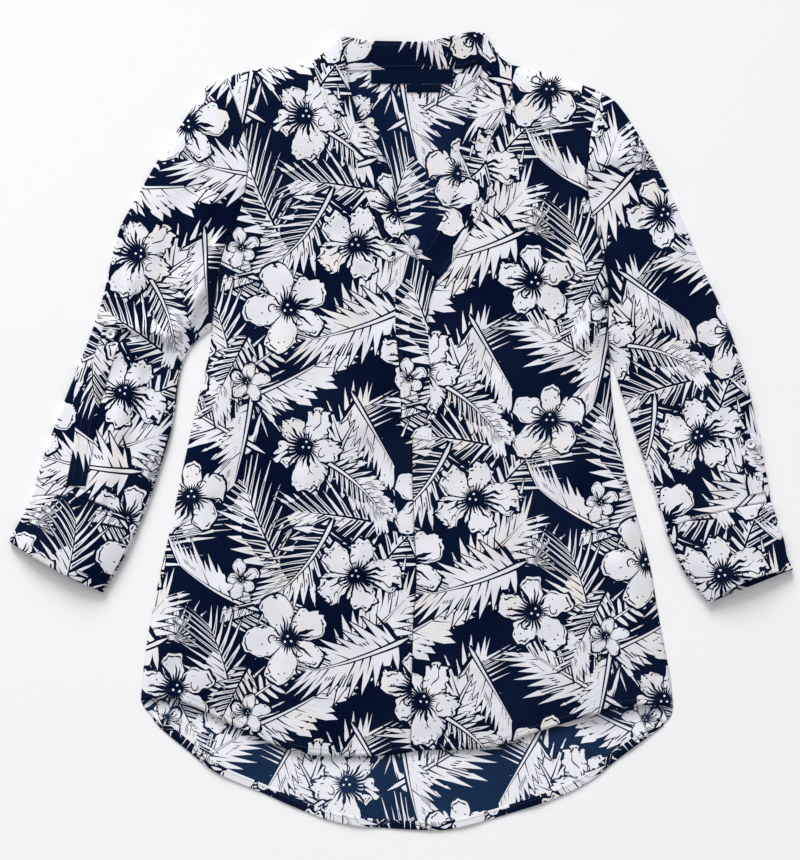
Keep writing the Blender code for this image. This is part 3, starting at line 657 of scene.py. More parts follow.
# %% [markdown]
# ## Chance
#
# A printed line is never perfect, and no two leaves are the same. Noise bends lines slowly, a
# white noise node gives each leaf and each leaflet its own number, and a Voronoi node scatters
# dots. All of them depend on their input alone, so every render is the same.

# %% Chance


def noise(vector, scale, detail=1.0):
    """Smooth noise from 0 to 1 over a vector."""
    node = Wire.tree.nodes.new("ShaderNodeTexNoise")
    node.inputs["Scale"].default_value = scale
    node.inputs["Detail"].default_value = detail
    Wire.tree.links.new(vector, node.inputs["Vector"])
    return Wire(node.outputs["Fac"])


def chance(value):
    """A random number from 0 to 1 that stays the same for the same value."""
    node = Wire.tree.nodes.new("ShaderNodeTexWhiteNoise")
    node.noise_dimensions = "1D"
    Wire.tree.links.new(value.socket, node.inputs["W"])
    return Wire(node.outputs["Value"])


def dots(vector, scale, radius, share):
    """Small dots scattered over a vector, in a share of the cells."""
    node = Wire.tree.nodes.new("ShaderNodeTexVoronoi")
    node.inputs["Scale"].default_value = scale
    Wire.tree.links.new(vector, node.inputs["Vector"])
    separate = Wire.tree.nodes.new("ShaderNodeSeparateColor")
    Wire.tree.links.new(node.outputs["Color"], separate.inputs[0])
    picked = Wire(separate.outputs[0]) < share
    return least(Wire(node.outputs["Distance"]) < radius, picked)

# %% [markdown]
# ## One group for a kind of motif
#
# The cloth has five layers of print, and each draws one kind of motif. A node group holds that
# drawing once. It takes a place on the motif and gives two masks: `Ink` is where the motif is
# white, and `Cover` where it hides what is under it, with a dark margin round its white.

# %% Groups for motifs


def by_style(style, values):
    """The value that a table gives for a whole-number style."""
    found = values[0]
    for index, value in enumerate(values[1:], 1):
        found = found + (style > index - 0.5) * (value - values[index - 1])
    return found


def new_group(name, draw):
    """A node group from a motif place to the two masks that draw makes: its ink and its cover."""
    group = bpy.data.node_groups.new(name, "ShaderNodeTree")
    group.interface.new_socket("Place", in_out="INPUT", socket_type="NodeSocketVector")
    for output in ("Ink", "Cover"):
        group.interface.new_socket(output, in_out="OUTPUT", socket_type="NodeSocketFloat")
    Wire.tree = group
    start, end = group.nodes.new("NodeGroupInput"), group.nodes.new("NodeGroupOutput")
    for socket, mask in zip(end.inputs, draw(start.outputs[0])):
        group.links.new(mask.socket, socket)
    print("group", name, "has", len(group.nodes), "nodes")
    return group

# %% [markdown]
# ## Fronds and ferns
#
# A palm frond is a rib with leaflets that sweep forward from it. One formula draws all the
# leafy motifs. `root` says which leaflet a point is on and `out` how far along the leaflet it
# is, 0 at the rib and 1 at the tip. A leaflet is white while the point is nearer its middle
# line than its half width, and the half width shrinks to nothing at the tip, which makes the
# spikes. A fan uses the angle round its centre as `root`; a fern has wide gaps and blunt
# leaflets; a blade's stay wide until near their tips, so its edge is toothed; a wing has only
# one side.
#
# A screen printer's hand shows in three more things. Some leaflets run together (`merged`), some
# leaves are hatched with dark strokes, and some of those have no white rib, only a thin dark
# line. The seed of the motif chooses.

# %% The frond group
# By style: feather, fan, fern, blade, wing
PITCH = (11.0, 14.0, 7.0, 13.0, 12.0)        # leaflets from the root to the tip
THIN = (0.17, 0.18, 0.46, 0.25, 0.02)        # share of the pitch that is gap beside the rib
START = (0.06, 0.14, 0.25, 0.70, 0.56)       # where along a leaflet the gap begins to widen
TAPER = (0.92, 0.9, 3.2, 1.5, 0.9)           # how it widens: 1 makes spikes, more blunt ends
RIB_START, RIB_END = -0.13, 0.95             # where the rib begins and ends, in leaf lengths
HATCHED, RIBLESS = 0.70, 0.60                # share of leaves with hatching, of those without a rib


def draw_frond(place):
    """The ink and the cover of a leaf, from a place on it."""
    x, straight, code = split(place)
    style, seed = whole(code), whole(part(code) * SEEDS) / SEEDS
    is_fan, is_fern, is_wing = [math_node("COMPARE", style, kind, 0.5) for kind in (FAN, FERN, WING)]
    y = straight - (seed - 0.5) * BEND * x * x * (1.0 - is_fan)
    side = y > 0.0
    off_rib = abs(y)
    drift = noise(bundle(x, y, seed * 9.0), 2.4, 2.0) - 0.5

    # which leaflet, and how far out on it: first as on a feather, then as on a fan
    lean, fanning = by_style(style, LEAN), by_style(style, FANNING)
    feather_root = (x - off_rib * lean + drift * 0.07) / (1.0 + off_rib * fanning)
    inside = least(most(feather_root, 0.0), 1.0)
    slope = lean + fanning * inside
    long = by_style(style, SPREAD) * (LEAST + MORE * sine(FROM + inside * TURN))
    feather_out = off_rib * math_node("SQRT", 1.0 + slope * slope) / long
    angle = math_node("ARCTAN2", y, x)
    fan_root = angle / FAN_OPEN + 0.5 + drift * 0.03
    fan_out = math_node("SQRT", x * x + y * y)
    root = feather_root + (fan_root - feather_root) * is_fan
    out = feather_out + (fan_out - feather_out) * is_fan

    # what chance gives each leaflet and each leaf
    count = root * by_style(style, PITCH) + side * (1.0 - is_fan) * 0.5 + seed * 7.0
    leaflet = chance(whole(count) + seed * 31.0 + side * 57.0)
    other = chance(whole(count) * 1.7 + seed * 13.0 + side * 29.0)
    reach = out / (0.62 + leaflet * 0.42)
    off_middle = abs(part(count) - 0.5) * 2.0
    hatched = chance(seed * 17.0) > 1.0 - HATCHED
    ribless = hatched * (chance(seed * 43.0) > 1.0 - RIBLESS)
    bare = side * is_wing
    together = noise(bundle(x, y, seed * 5.0), 1.7) + side * 0.16
    merged = (together > 0.50 + hatched * 0.12) * (1.0 - is_fern)

    # the gap between leaflets widens towards their tips
    start = by_style(style, START) * (1.0 - hatched * 0.5) + merged * (0.20 + other * 0.3)
    start = least(start, 0.8)
    beyond = most(reach - start, 0.0) / (1.0 - start)
    thin = (by_style(style, THIN) + hatched * 0.16 * (1.0 - is_fern)) * (1.0 - merged)
    gap = thin + (1.0 - thin) * least(beyond, 1.0) ** by_style(style, TAPER)
    within = least(root > 0.0, root < 1.0, reach < 1.0) * (1.0 - bare)

    # dark strokes: one down the middle of a leaflet, or short ones beside it
    stroke_end = 0.25 + other * 0.6
    narrowing = off_middle < 0.30 * (1.0 - reach / stroke_end)
    long_stroke = least(narrowing, reach > 0.06, leaflet > 0.5 - hatched * 0.4)
    off_third = abs(part(count * 3.0) - 0.5)
    short_stroke = least(off_third < 0.22, reach > other * 0.4, reach < other * 0.4 + leaflet * 0.35,
                         other > 0.7 - hatched * 0.35)
    strokes = most(long_stroke, short_stroke) * (1.0 - is_fern)
    leaf = least(off_middle < 1.0 - gap, within) * (1.0 - strokes)

    # the white rib, and the dark groove on either side of it
    along = least(x > RIB_START, x < RIB_END, 1.0 - is_fan)
    half_rib = least(0.016 * (1.15 - x), (x + 0.14) * 0.16)
    rib = least(off_rib < half_rib, along) * (1.0 - ribless)
    half_groove = (0.036 - ribless * 0.022) * (1.15 - x) + drift * 0.02
    groove = least(off_rib < half_groove, along) * (1.0 - rib)

    ink = most(leaf * (1.0 - groove), rib)
    halo = least(off_middle < 1.25 - gap, root > -0.02, root < 1.03, reach < 1.05)
    heart = least(reach < 0.70, root > -0.04, root < 1.04)
    return ink, most(most(halo, heart) * (1.0 - bare), least(off_rib < 0.04, along))


FROND = new_group("frond", draw_frond)

# %% [markdown]
# ## Flowers
#
# A flower is easiest in polar terms: its edge is a distance from the centre that depends on the
# angle. The cosine of two and a half turns has five humps, one for each petal, and each petal
# is as long as chance says. The dark heart is the same idea with many thin rays, and white
# dots in it are the stamens. Some flowers are ragged: their edges are ruffled, veins run down
# the petals and notches cut into them. Thin loops and sparse specks break up the white, as the
# marks of a worn screen do.

# %% The flower group
PETALS, RAYS = 5, 26.0
LOW, BULGE = (0.28, 0.30), (0.55, 0.75)      # hibiscus and blossom: edge between petals, roundness
CORE, MARGIN = (0.16, 0.14), (0.06, 0.12)    # the dark heart, and the dark margin round the flower
LOOPS = [(0.30, 0.16, 0.10, 1.6), (-0.26, 0.22, 0.09, 0.8), (0.05, -0.40, 0.12, 2.4)]   # place, size, squash


def draw_loops(x, y):
    """Thin open loops at their places on the flower."""
    loops = None
    for away, aside, wide, tall in LOOPS:
        across, up = x - away, y - aside
        loop = abs(math_node("SQRT", across * across + up * up * tall) - wide) < 0.016
        loop = least(loop, across * (1.0 - tall) + up > -0.05)
        loops = loop if loops is None else most(loops, loop)
    return loops


def draw_flower(place):
    """The ink and the cover of a flower, from a place on it."""
    x, y, code = split(place)
    style, seed = whole(code), whole(part(code) * SEEDS) / SEEDS
    radius = math_node("SQRT", x * x + y * y)
    grain = noise(bundle(x, y, seed * 5.0), 2.2, 2.0) - 0.5
    angle = math_node("ARCTAN2", y, x) + grain * 0.8

    # the petals and their edge
    petal = angle / (2 * math.pi / PETALS) + 0.5
    hump = abs(math_node("COSINE", angle * (PETALS / 2)))
    ragged = chance(seed * 11.0) * (1.0 - style)
    ruffle = 0.045 * sine(angle * 23.0 + seed * 40.0) * ragged
    long = 0.72 + chance(whole(petal) + seed * 23.0) * 0.38
    low = by_style(style, LOW)
    edge = low + (long - low) * hump ** by_style(style, BULGE)
    edge = edge + ruffle + grain * (ragged * 0.14 + 0.05)
    cut = (hump < (1.15 - radius) * 0.16) * (radius > 0.2)
    rim = least(radius > edge - 0.085, radius < edge - 0.05, noise(place, 5.0) > 0.52)

    # rays out of the heart, veins on the petals and notches at their ends
    ray = angle * (RAYS / (2 * math.pi)) + seed * 9.0
    ray_long = chance(whole(ray) + seed * 3.0)
    off_ray = abs(part(ray) - 0.5) * 2.0
    lopsided = 0.75 + 0.5 * sine(angle + seed * 40.0)
    core = by_style(style, CORE) * (0.6 + lopsided * 0.4)
    burst = off_ray < 1.2 - (radius - core) / (0.09 + ray_long * 0.40 * lopsided)
    veins = least(off_ray < 0.16, ray_long > 0.6, ragged > 0.4, radius > 0.25 + ray_long * 0.2,
                  radius < edge - 0.12, noise(bundle(x, y, 3.0), 3.4) > 0.5)
    teeth = least(off_ray < (radius - edge + 0.14) * 2.6, ray_long > 0.95 - ragged * 0.4, style < 0.5)

    # white stamens in the heart, loops and specks
    turn = part(angle * 0.4775 + seed)
    stamens = math_node("SQRT", ((turn - 0.5) * 0.17) ** 2.0 + (radius - 0.08) ** 2.0) < 0.026
    specks = least(dots(bundle(x, y, seed), 9.0, 0.17, 0.45), radius > 0.3)
    dark = most(cut, rim, burst, veins, teeth, draw_loops(x, y) * (style < 0.5), specks)
    ink = most((radius < edge) * (1.0 - dark), stamens)
    return ink, radius < edge + by_style(style, MARGIN)


FLOWER = new_group("flower", draw_flower)

# %% [markdown]
# ## Colours of the print
#
# The ground is navy and the motifs are left white, so ink here means white. Dye is never even:
# both colours drift a little over the cloth, the white towards a warm cream. The wrong side of
# the cloth shows the same print paler, because the dye only soaks through it. Light and shade are
# painted into the wrong side too: painted light lifts its navy and its white on the tail, as if
# light came through the thin cloth from the table under it, and the neck is painted darker, as
# painted shade where the collar shades it.

# %% Colours of the print
NAVY = (0.0016, 0.0050, 0.0200)
NAVY_WORN = (0.0042, 0.0100, 0.0300)
WHITE = (0.750, 0.752, 0.815)
CREAM = (0.770, 0.715, 0.655)
LIT_WHITE = (0.860, 0.860, 0.910)     # white of the tail with painted light, as if lit through the cloth
# the wrong side's navy is set dark, so that the neck shows painted shade
INSIDE_NAVY = (0.0036, 0.0090, 0.0340)
# navy that the wrong side drifts to at random, and that painted light on the tail lifts it to
INSIDE_NAVY_WORN_AND_LIT = (0.0115, 0.0300, 0.0740)

# %% [markdown]
# ## Materials from wires
#
# The Principled shader that a new material has is kept, and only its inputs are set or wired.
# A few helpers do that here. A bump tilts the light on a face without moving it.

# %% Materials from wires


def blend_colours(share, first, second):
    """A colour between two colours, which are sockets or plain colours, as a socket."""
    node = Wire.tree.nodes.new("ShaderNodeMix")
    node.data_type = "RGBA"
    Wire.tree.links.new(share.socket, node.inputs["Factor"])
    for socket, colour in zip((node.inputs[6], node.inputs[7]), (first, second)):
        if isinstance(colour, tuple):
            socket.default_value = (*colour, 1.0)
        else:
            Wire.tree.links.new(colour, socket)
    return node.outputs[2]


def stretch(value, low, high):
    """A number stretched so that low becomes 0 and high becomes 1, held between them."""
    node = Wire.tree.nodes.new("ShaderNodeMapRange")
    Wire.tree.links.new(value.socket, node.inputs["Value"])
    node.inputs["From Min"].default_value = low
    node.inputs["From Max"].default_value = high
    return Wire(node.outputs["Result"])


def grain(scale, detail):
    """Smooth noise from 0 to 1 over an object's own coordinates."""
    place = Wire.tree.nodes.new("ShaderNodeTexCoord")
    return noise(place.outputs["Object"], scale, detail)


def start_material(name, roughness):
    """A new material, its Principled shader, and its tree as the one that wires go to."""
    material = bpy.data.materials.new(name)
    material.use_nodes = True
    Wire.tree = material.node_tree
    shader = material.node_tree.nodes["Principled BSDF"]
    shader.inputs["Roughness"].default_value = roughness
    return material, shader


def paint(shader, colour):
    """Wires a colour to a Principled shader."""
    Wire.tree.links.new(colour, shader.inputs["Base Color"])


def link_bump(shader, height, strength, depth):
    """Drives the shader's normal from a height."""
    bump = Wire.tree.nodes.new("ShaderNodeBump")
    bump.inputs["Strength"].default_value = strength
    bump.inputs["Distance"].default_value = depth
    Wire.tree.links.new(height.socket, bump.inputs["Height"])
    Wire.tree.links.new(bump.outputs["Normal"], shader.inputs["Normal"])

# %% [markdown]
# ## The printed cloth
#
# The layers of print are laid from the bottom up, as a printer's screens are. Each one first
# clears what it covers back to navy, and then adds its white. Lawn is matt. Its plain weave is
# finer than half a millimetre, far too fine for the mesh, so it goes in the bump.

# %% The cloth material
LAWN_ROUGHNESS = 0.86
WEAVE_PITCH = 0.00045                # metres from one thread to the next
WEAVE_STRENGTH, WEAVE_DEPTH = 0.2, 0.00005
TAIL_FROM, TAIL_TO = 0.15, 0.30      # metres below the shirt's middle where the painted light on the tail begins, and where it is full


def painted():
    """Where the cloth is white, from all the layers of print."""
    white = None
    for layer in LAYERS:
        place = Wire.tree.nodes.new("ShaderNodeAttribute")
        place.attribute_name = layer
        motif = Wire.tree.nodes.new("ShaderNodeGroup")
        motif.node_tree = FLOWER if layer in FLOWER_LAYERS else FROND
        Wire.tree.links.new(place.outputs["Vector"], motif.inputs[0])
        ink, cover = Wire(motif.outputs["Ink"]), Wire(motif.outputs["Cover"])
        white = ink if white is None else most(white * (1.0 - cover), ink)
    return white


def printed_cloth(name, navy, navy_worn_and_lit, painted_light_share=0.0):
    """The printed lawn from one of its sides; the last number is the share of painted light
    on the tail and of painted shade in the neck.
    """
    material, shader = start_material(name, LAWN_ROUGHNESS)
    shader.inputs["Specular IOR Level"].default_value = 0.0
    white = painted()
    grid = Wire.tree.nodes.new("ShaderNodeUVMap")
    grid.uv_map = "cloth"
    across, along, _ = split(grid.outputs[0])
    drift = stretch(noise(grid.outputs[0], 9.0, 2.0), 0.35, 0.7)
    warmth = stretch(noise(grid.outputs[0], 20.0, 2.0), 0.48, 0.72)
    left_white = blend_colours(warmth * 0.7, WHITE, CREAM)
    # painted light and shade: the wrong side is painted lighter, navy and white, towards the tail, and
    # darker in the neck, where its drift is cut down
    if painted_light_share:
        below = stretch(along * -1.0, TAIL_FROM, TAIL_TO) * painted_light_share
        drift = drift * (1.0 - painted_light_share) + below
        left_white = blend_colours(below, left_white, LIT_WHITE)
    paint(shader, blend_colours(white, blend_colours(drift, navy, navy_worn_and_lit), left_white))
    threads = 2 * math.pi / WEAVE_PITCH
    weave = sine(across * threads) * sine(along * threads)
    link_bump(shader, weave, WEAVE_STRENGTH, WEAVE_DEPTH)
    print(name, "has", len(material.node_tree.nodes), "nodes and", len(LAYERS), "groups")
    return material


CLOTH = printed_cloth("printed_lawn", NAVY, NAVY_WORN)
# the wrong side, with painted light on the tail and painted shade in the neck
CLOTH_INSIDE = printed_cloth("printed_lawn_wrong_side", INSIDE_NAVY, INSIDE_NAVY_WORN_AND_LIT, 0.65)

# %% [markdown]
# ## From grid to mesh
#
# Every panel is a grid of points, because a grid has rows that can follow an edge and columns
# that can follow the cloth's thread. Each quad of the grid keeps its place on the flat cut
# cloth as its UV map, in metres, and the print is noted from the same place.

# %% Grids and meshes


def make_mesh(name, points, faces):
    """A smooth mesh object from points in millimetres."""
    mesh = bpy.data.meshes.new(name)
    mesh.from_pydata([tuple(point) for point in np.asarray(points, float) / 1000], [], faces)
    mesh.shade_smooth()
    piece = bpy.data.objects.new(name, mesh)
    bpy.context.scene.collection.objects.link(piece)
    return piece


def grid_faces(rows, columns, closed=False):
    """Quads of a grid, and the grid corner under each quad corner."""
    wide = columns if closed else columns - 1
    row, column = np.mgrid[0:rows - 1, 0:wide].reshape(2, -1)
    after = column + 1
    corner_rows = np.stack([row, row, row + 1, row + 1], 1)
    corner_columns = np.stack([column, after, after, column], 1)
    quads = corner_rows * columns + corner_columns % columns
    return quads, corner_rows, corner_columns


def raised(plan, height):
    """Plan points at their heights."""
    return np.concatenate([plan, height[..., None]], -1)


def print_on(piece, corners, offset, turn=0.0, mirrored=False):
    """Lays the print and the flat map of the cut cloth on a mesh."""
    chart = piece.data.uv_layers.new(name="cloth")
    chart.uv.foreach_set("vector", (corners / 1000).astype(np.float32).ravel())
    note_motifs(piece.data, corners, offset, turn, mirrored)

# %% [markdown]
# ## From mesh to cloth
#
# Real lawn is a quarter of a millimetre thick. A Solidify modifier gives the grid a wall, so the
# cloth has two sides and an edge that catches light. It adds the wall on the inside, so the
# points that we placed stay the outer face.
#
# `declare` hangs the piece under the root, hides the solid that it stands for and prints the
# size that it was cut to, measured on the flat cut.

# %% Cloth from a grid
LAWN = 0.5            # thickness of the cloth, a little over the real one so that its edge shows
TABLE_GAP = 0.1       # between the lowest cloth and the table
SEAM_FACE = 0.8       # width of a tube's faces at its seam


def cloth(name, points, coords, offset, mirrored=False, seam=None, wall=LAWN, material=CLOTH):
    """A cloth piece from a grid of points and the grid's places on the flat cut.

    A tube has a seam, the column of faces where the cut cloth ends and begins again.
    """
    rows, columns = points.shape[:2]
    quads, corner_rows, corner_columns = grid_faces(rows, columns, seam is not None)
    corners = coords[corner_rows, corner_columns]
    if seam is not None:
        meeting = corner_columns[:, 0] == seam
        corners[meeting, 1] = corners[meeting, 0] + (SEAM_FACE, 0)
        corners[meeting, 2] = corners[meeting, 3] + (SEAM_FACE, 0)
    spots = points.reshape(-1, 3)
    first, second, last = (spots[quads[:, corner]] for corner in (0, 1, 3))
    upward = np.cross(second - first, last - first)[:, 2]
    top = first[:, 2] > np.median(first[:, 2]) - 1e-9
    if upward[top].sum() < 0:
        quads, corners = quads[:, ::-1], corners[:, ::-1]
    piece = make_mesh(name, spots, quads.tolist())
    print_on(piece, corners, offset, mirrored=mirrored)
    piece.data.materials.append(material)
    shell = piece.modifiers.new("thickness", "SOLIDIFY")
    shell.thickness = wall / 1000
    shell.offset = -1
    return piece, corners


def flat_size(corners):
    """Width, length and area of a cut, from the places of its faces' corners, in metres."""
    x, y = corners[..., 0], corners[..., 1]
    area = (x * np.roll(y, -1, axis=1) - np.roll(x, -1, axis=1) * y).sum(1)
    wide, tall = np.ptp(corners.reshape(-1, 2), axis=0) / 1000
    return wide, tall, abs(area).sum() / 2e6


def declare(piece, node, corners, turning=0.0):
    """Hangs a cloth piece under the root, hides its solid and prints its cut; turning is cloth
    hidden along a long edge, in mm.
    """
    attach(piece, "root")
    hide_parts(node)
    wide, tall, area = flat_size(corners)
    area += turning / 1000 * max(wide, tall)
    if wide < tall:
        wide += turning / 1000
    else:
        tall += turning / 1000
    min(area, wide * tall)
    print(f"{piece.name}: cut {wide * 1000:.0f} x {tall * 1000:.0f} mm, {area:.3f} m2")

# %% [markdown]
# ## The back
#
# The back is the longest panel. It lies on the table with its inside up: we see it in the neck
# and below the front hem. The tail that shows is loose, so it lifts off the table in slow
# waves; the rest is held down by the fronts. Its edge stays a hair inside the edges of the
# fronts, so the two layers never share a face.

# %% Make the back
BACK_STEP = 4.5                      # size of a face of the back's grid
BACK_SIDE_STEPS, BACK_ARMHOLE_STEPS = 90, 70
BACK_SCALE = 0.9985                  # how much smaller than its outline it is made
NECK_MARGIN = 3                      # how far it goes up under the collar band
TAIL_START, TAIL_SLANT = -292, 0.02  # where the tail begins to lift, and how that line slopes
TAIL_RUN, TAIL_SWAY = 60, 55         # distance in which it lifts, and how its waves slant
TAIL_LIFT = 0.6
TAIL_WAVES = [(118, 0.2, 0.7), (67, 1.7, 0.45), (39, 4.0, 0.25)]   # wave length, phase, height


def shares(length, step):
    """Even shares of a length, about one step apart."""
    return np.linspace(0, 1, max(int(round(length / step)), 2) + 1)


def tail_height(x, y):
    """Height of the back's upper face: flat under the fronts, waving below their hems."""
    below = np.clip((TAIL_START - np.abs(x) * TAIL_SLANT - y) / TAIL_RUN, 0, 1)
    lift = sum(high * (1 + np.sin(2 * math.pi * x / wave + phase + y / TAIL_SWAY))
               for wave, phase, high in TAIL_WAVES)
    return LAWN + TABLE_GAP + lift * below ** 1.5 * TAIL_LIFT


def make_back():
    """The back as one sheet, from the tail's edge to the shoulders."""
    edges = [join(smooth(half["side"], BACK_SIDE_STEPS), smooth(half["armhole"], BACK_ARMHOLE_STEPS))
             for half in (RIGHT, LEFT)]
    neck = [(x, y + NECK_MARGIN) for x, y in NECK_SEAM[1:-1]]
    top = np.concatenate([RIGHT["shoulder"], neck, LEFT["shoulder"][::-1]])
    along = np.linspace(0, 1, len(edges[0]))
    plan = patch(BACK_HEM, top, *edges, shares(length_of(BACK_HEM), BACK_STEP), along)
    centre = plan.mean((0, 1))
    plan = centre + (plan - centre) * BACK_SCALE
    points = raised(plan, tail_height(plan[..., 0], plan[..., 1]))
    piece, corners = cloth("cloth_back", points, plan, (136, 136), mirrored=True, material=CLOTH_INSIDE)
    declare(piece, "back", corners)


make_back()

# %% [markdown]
# ## The fronts
#
# Each front runs from its curved hem to the shoulder and is cut away round the neck. Its edge
# rolls under at the side seam, at the shoulder and at the hem, because that is where cloth is
# folded in. The hem is turned twice, so it is thicker: a low step about 8 mm above the edge.
# The two numbers at the end of each call place the print, since no cutter matches the halves.

# %% Make the fronts
FRONT_STEP = 3.3                     # size of a face of the fronts' grid
SIDE_STEPS, ARMHOLE_STEPS, CENTRE_STEPS, HEM_STEPS = 116, 88, 130, 24
HEM_DEPTH, HEM_STEP = 8.0, 0.45      # the turned hem and how much it stands up
HEM_ROLL = [(0.9, -1.1), (0.3, -0.75), (0.0, -0.3)]   # rows under the hem: how far in, how far down


def front_height(x, y, hem):
    """The upper layer's height with the hem's double fold on it."""
    return upper_height(x, y) + HEM_STEP * np.clip((HEM_DEPTH + 1 - distance(x, y, hem)), 0, 1)


def make_front(side, half, offset):
    """One half of the front, with the roll under its hem as the first rows of the grid."""
    outside = join(smooth(half["side"], SIDE_STEPS), smooth(half["armhole"], ARMHOLE_STEPS))
    to_neck = np.linspace(0, 1, len(outside) - CENTRE_STEPS)
    inside = join(smooth(half["centre"], CENTRE_STEPS), at_shares(half["neckline"], to_neck))
    along = np.linspace(0, 1, len(outside))
    across = shares(length_of(half["hem"]), FRONT_STEP)
    plan = patch(half["hem"], half["shoulder"], outside, inside, across, along)
    height = front_height(plan[..., 0], plan[..., 1], smooth(half["hem"], HEM_STEPS))
    inward = plan[1] - plan[0]
    inward = inward / np.linalg.norm(inward, axis=1)[:, None]
    roll = [raised(plan[0] + inward * far, height[0] + down) for far, down in HEM_ROLL]
    turned_in = [plan[0] - inward * (len(roll) - row) for row in range(len(roll))]
    points = np.concatenate([np.array(roll), raised(plan, height)])
    coords = np.concatenate([np.array(turned_in), plan])
    piece, corners = cloth(f"cloth_front_{side}", points, coords, offset)
    declare(piece, f"front_{side}", corners)


make_front("right", RIGHT, (36, 128))
make_front("left", LEFT, (171, 44))

# %% [markdown]
# ## A flattened tube
#
# A sleeve laid flat is a flattened tube: an upper layer, a lower layer on the table and two
# folded edges. Each row of the tube is a loop round it. A folded edge is half a circle, as high
# as the two layers stand apart. The print runs round the outer fold from the upper layer to the
# lower one, as it does on a real sleeve, whose only seam is under the arm.

# %% A flattened tube
COLUMNS = 58          # points across the upper layer of a sleeve
ROUND_STEPS = 3       # faces round a folded edge, above and below its middle


def bowed(start, end, bow, columns):
    """Plan points from one edge of the sleeve to the other, bent up or down the sleeve."""
    share = np.linspace(0, 1, columns)[:, None]
    return start + (end - start) * share + bow * 4 * share * (1 - share)


def folded_edge(tip, before, low):
    """Points round a folded edge, from the upper layer's tip down to the lower layer."""
    middle, half = (tip[2] + low) / 2, (tip[2] - low) / 2
    out = (tip - before)[:2] / np.linalg.norm((tip - before)[:2])
    points = []
    for turn in np.radians(np.linspace(90, -90, 2 * ROUND_STEPS + 1)[1:-1]):
        points.append((*(tip[:2] + out * half * math.cos(turn)), middle + half * math.sin(turn)))
    return np.array(points)


def tube_loop(plan, low, top):
    """A loop round a flattened tube: the upper layer out to in, then the lower layer back."""
    upper, lower = raised(plan, top), raised(plan, np.full(len(plan), low))
    inner_edge = folded_edge(upper[-1], upper[-2], low)
    outer_edge = folded_edge(upper[0], upper[1], low)
    return np.concatenate([upper, inner_edge, lower[::-1], outer_edge[::-1]])


def unrolled(loops, up):
    """Places of a tube's loops on the flat cut: the lower layer goes on beyond the outer fold."""
    spots = np.concatenate([loops, loops[:, :1]], 1)[..., :2]
    flat = np.stack([spots @ np.array([up[1], -up[0]]), spots @ up], -1)
    fold = flat[:, :1, 0]
    turned = flat.copy()
    turned[:, COLUMNS:, 0] = 2 * fold - flat[:, COLUMNS:, 0]
    turned[:, -1, 0] = fold[:, 0]
    return turned


def up_the_sleeve(half):
    """The direction from the cuff's open end to its folded end."""
    up = np.array(half["cuff_outer"][0]) + half["cuff_inner"][0]
    up = up - half["cuff_outer"][-1] - half["cuff_inner"][-1]
    return up / np.linalg.norm(up)


print("a loop has", 2 * COLUMNS + 2 * (2 * ROUND_STEPS - 1), "points")

# %% [markdown]
# ## The sleeves
#
# The rows of a sleeve start on the armhole's curve and straighten on the way to the cuff. Its
# inner edge, under the arm, is much shorter than its outer edge, so the rows lie close together
# there: a table says where the row at each share of the outer edge meets the inner one.

# %% A sleeve
# share of the outer edge, share of the inner edge, how much of the armhole's curve is left
SLEEVE_ROWS = [
    (0.00, 0.000, 1.00), (0.035, 0.003, 0.97), (0.07, 0.006, 0.93), (0.12, 0.011, 0.86),
    (0.18, 0.018, 0.77), (0.25, 0.026, 0.67), (0.33, 0.036, 0.53), (0.41, 0.048, 0.38),
    (0.49, 0.068, 0.22), (0.56, 0.11, 0.10), (0.64, 0.24, 0.03), (0.72, 0.40, 0.0),
    (0.80, 0.56, 0.0), (0.88, 0.73, 0.0), (0.935, 0.86, 0.0), (1.0, 1.0, 0.0),
]
SLEEVE_STEP = 3.2     # distance between rows along the outer edge
EDGE_STEPS = 400      # points on each edge, from which the rows' ends are picked
SLEEVE_INSET = 1.0    # how much more than its half height a folded edge is set in


def sleeve_rows(half):
    """Plan rows of the sleeve from the armhole to the cuff's far end."""
    armhole = smooth(half["armhole"], COLUMNS - 1)[::-1]
    curve = armhole - bowed(armhole[0], armhole[-1], 0.0, COLUMNS)
    outer, inner = smooth(half["outer"], EDGE_STEPS), smooth(half["inner"], EDGE_STEPS)
    bow = up_the_sleeve(half) * half["cuff_bow"][0]
    count = int(length_of(smooth(half["outer"], 60)) / SLEEVE_STEP)
    outer_shares, inner_shares, curves = np.array(SLEEVE_ROWS).T
    rows = []
    for share in np.linspace(0, 1, count):
        inner_share, left = (np.interp(share, outer_shares, values) for values in (inner_shares, curves))
        start, end = outer[round(EDGE_STEPS * share)], inner[round(EDGE_STEPS * inner_share)]
        rows.append(bowed(start, end, bow * share ** 6, COLUMNS) + curve * left)
    return np.array(rows)


def make_sleeve(side, half, offset):
    """A sleeve as one closed tube, set in at its edges by the radius of the folds."""
    rows = sleeve_rows(half)
    sides = upper_height(*rows[:, [0, -1]].T).mean(0)
    inset = ((sides - TABLE_GAP) / 2 + SLEEVE_INSET)[:, None, None]
    middle = (rows[:, :1] + rows[:, -1:]) / 2
    width = np.linalg.norm(rows[:, -1] - rows[:, 0], axis=1)[:, None, None]
    plan = middle + (rows - middle) * (1 - 2 * inset / width)
    loops = np.array([tube_loop(row, TABLE_GAP, upper_height(*row.T)) for row in plan])
    coords = unrolled(loops, up_the_sleeve(half))
    piece, corners = cloth(f"cloth_sleeve_{side}", loops, coords, offset, seam=COLUMNS - 1)
    declare(piece, f"sleeve_{side}", corners)


print("the right sleeve has", len(sleeve_rows(RIGHT)), "rows")

# %% [markdown]
# ## The cuffs
#
# A rolled cuff is the sleeve's own end turned up, a second tube round the first. Its rows roll
# in at both ends, which gives the soft double edge of folded cloth, and the upper layer of its
# open end is pulled back a little, so that the lower layer looks out from under it.

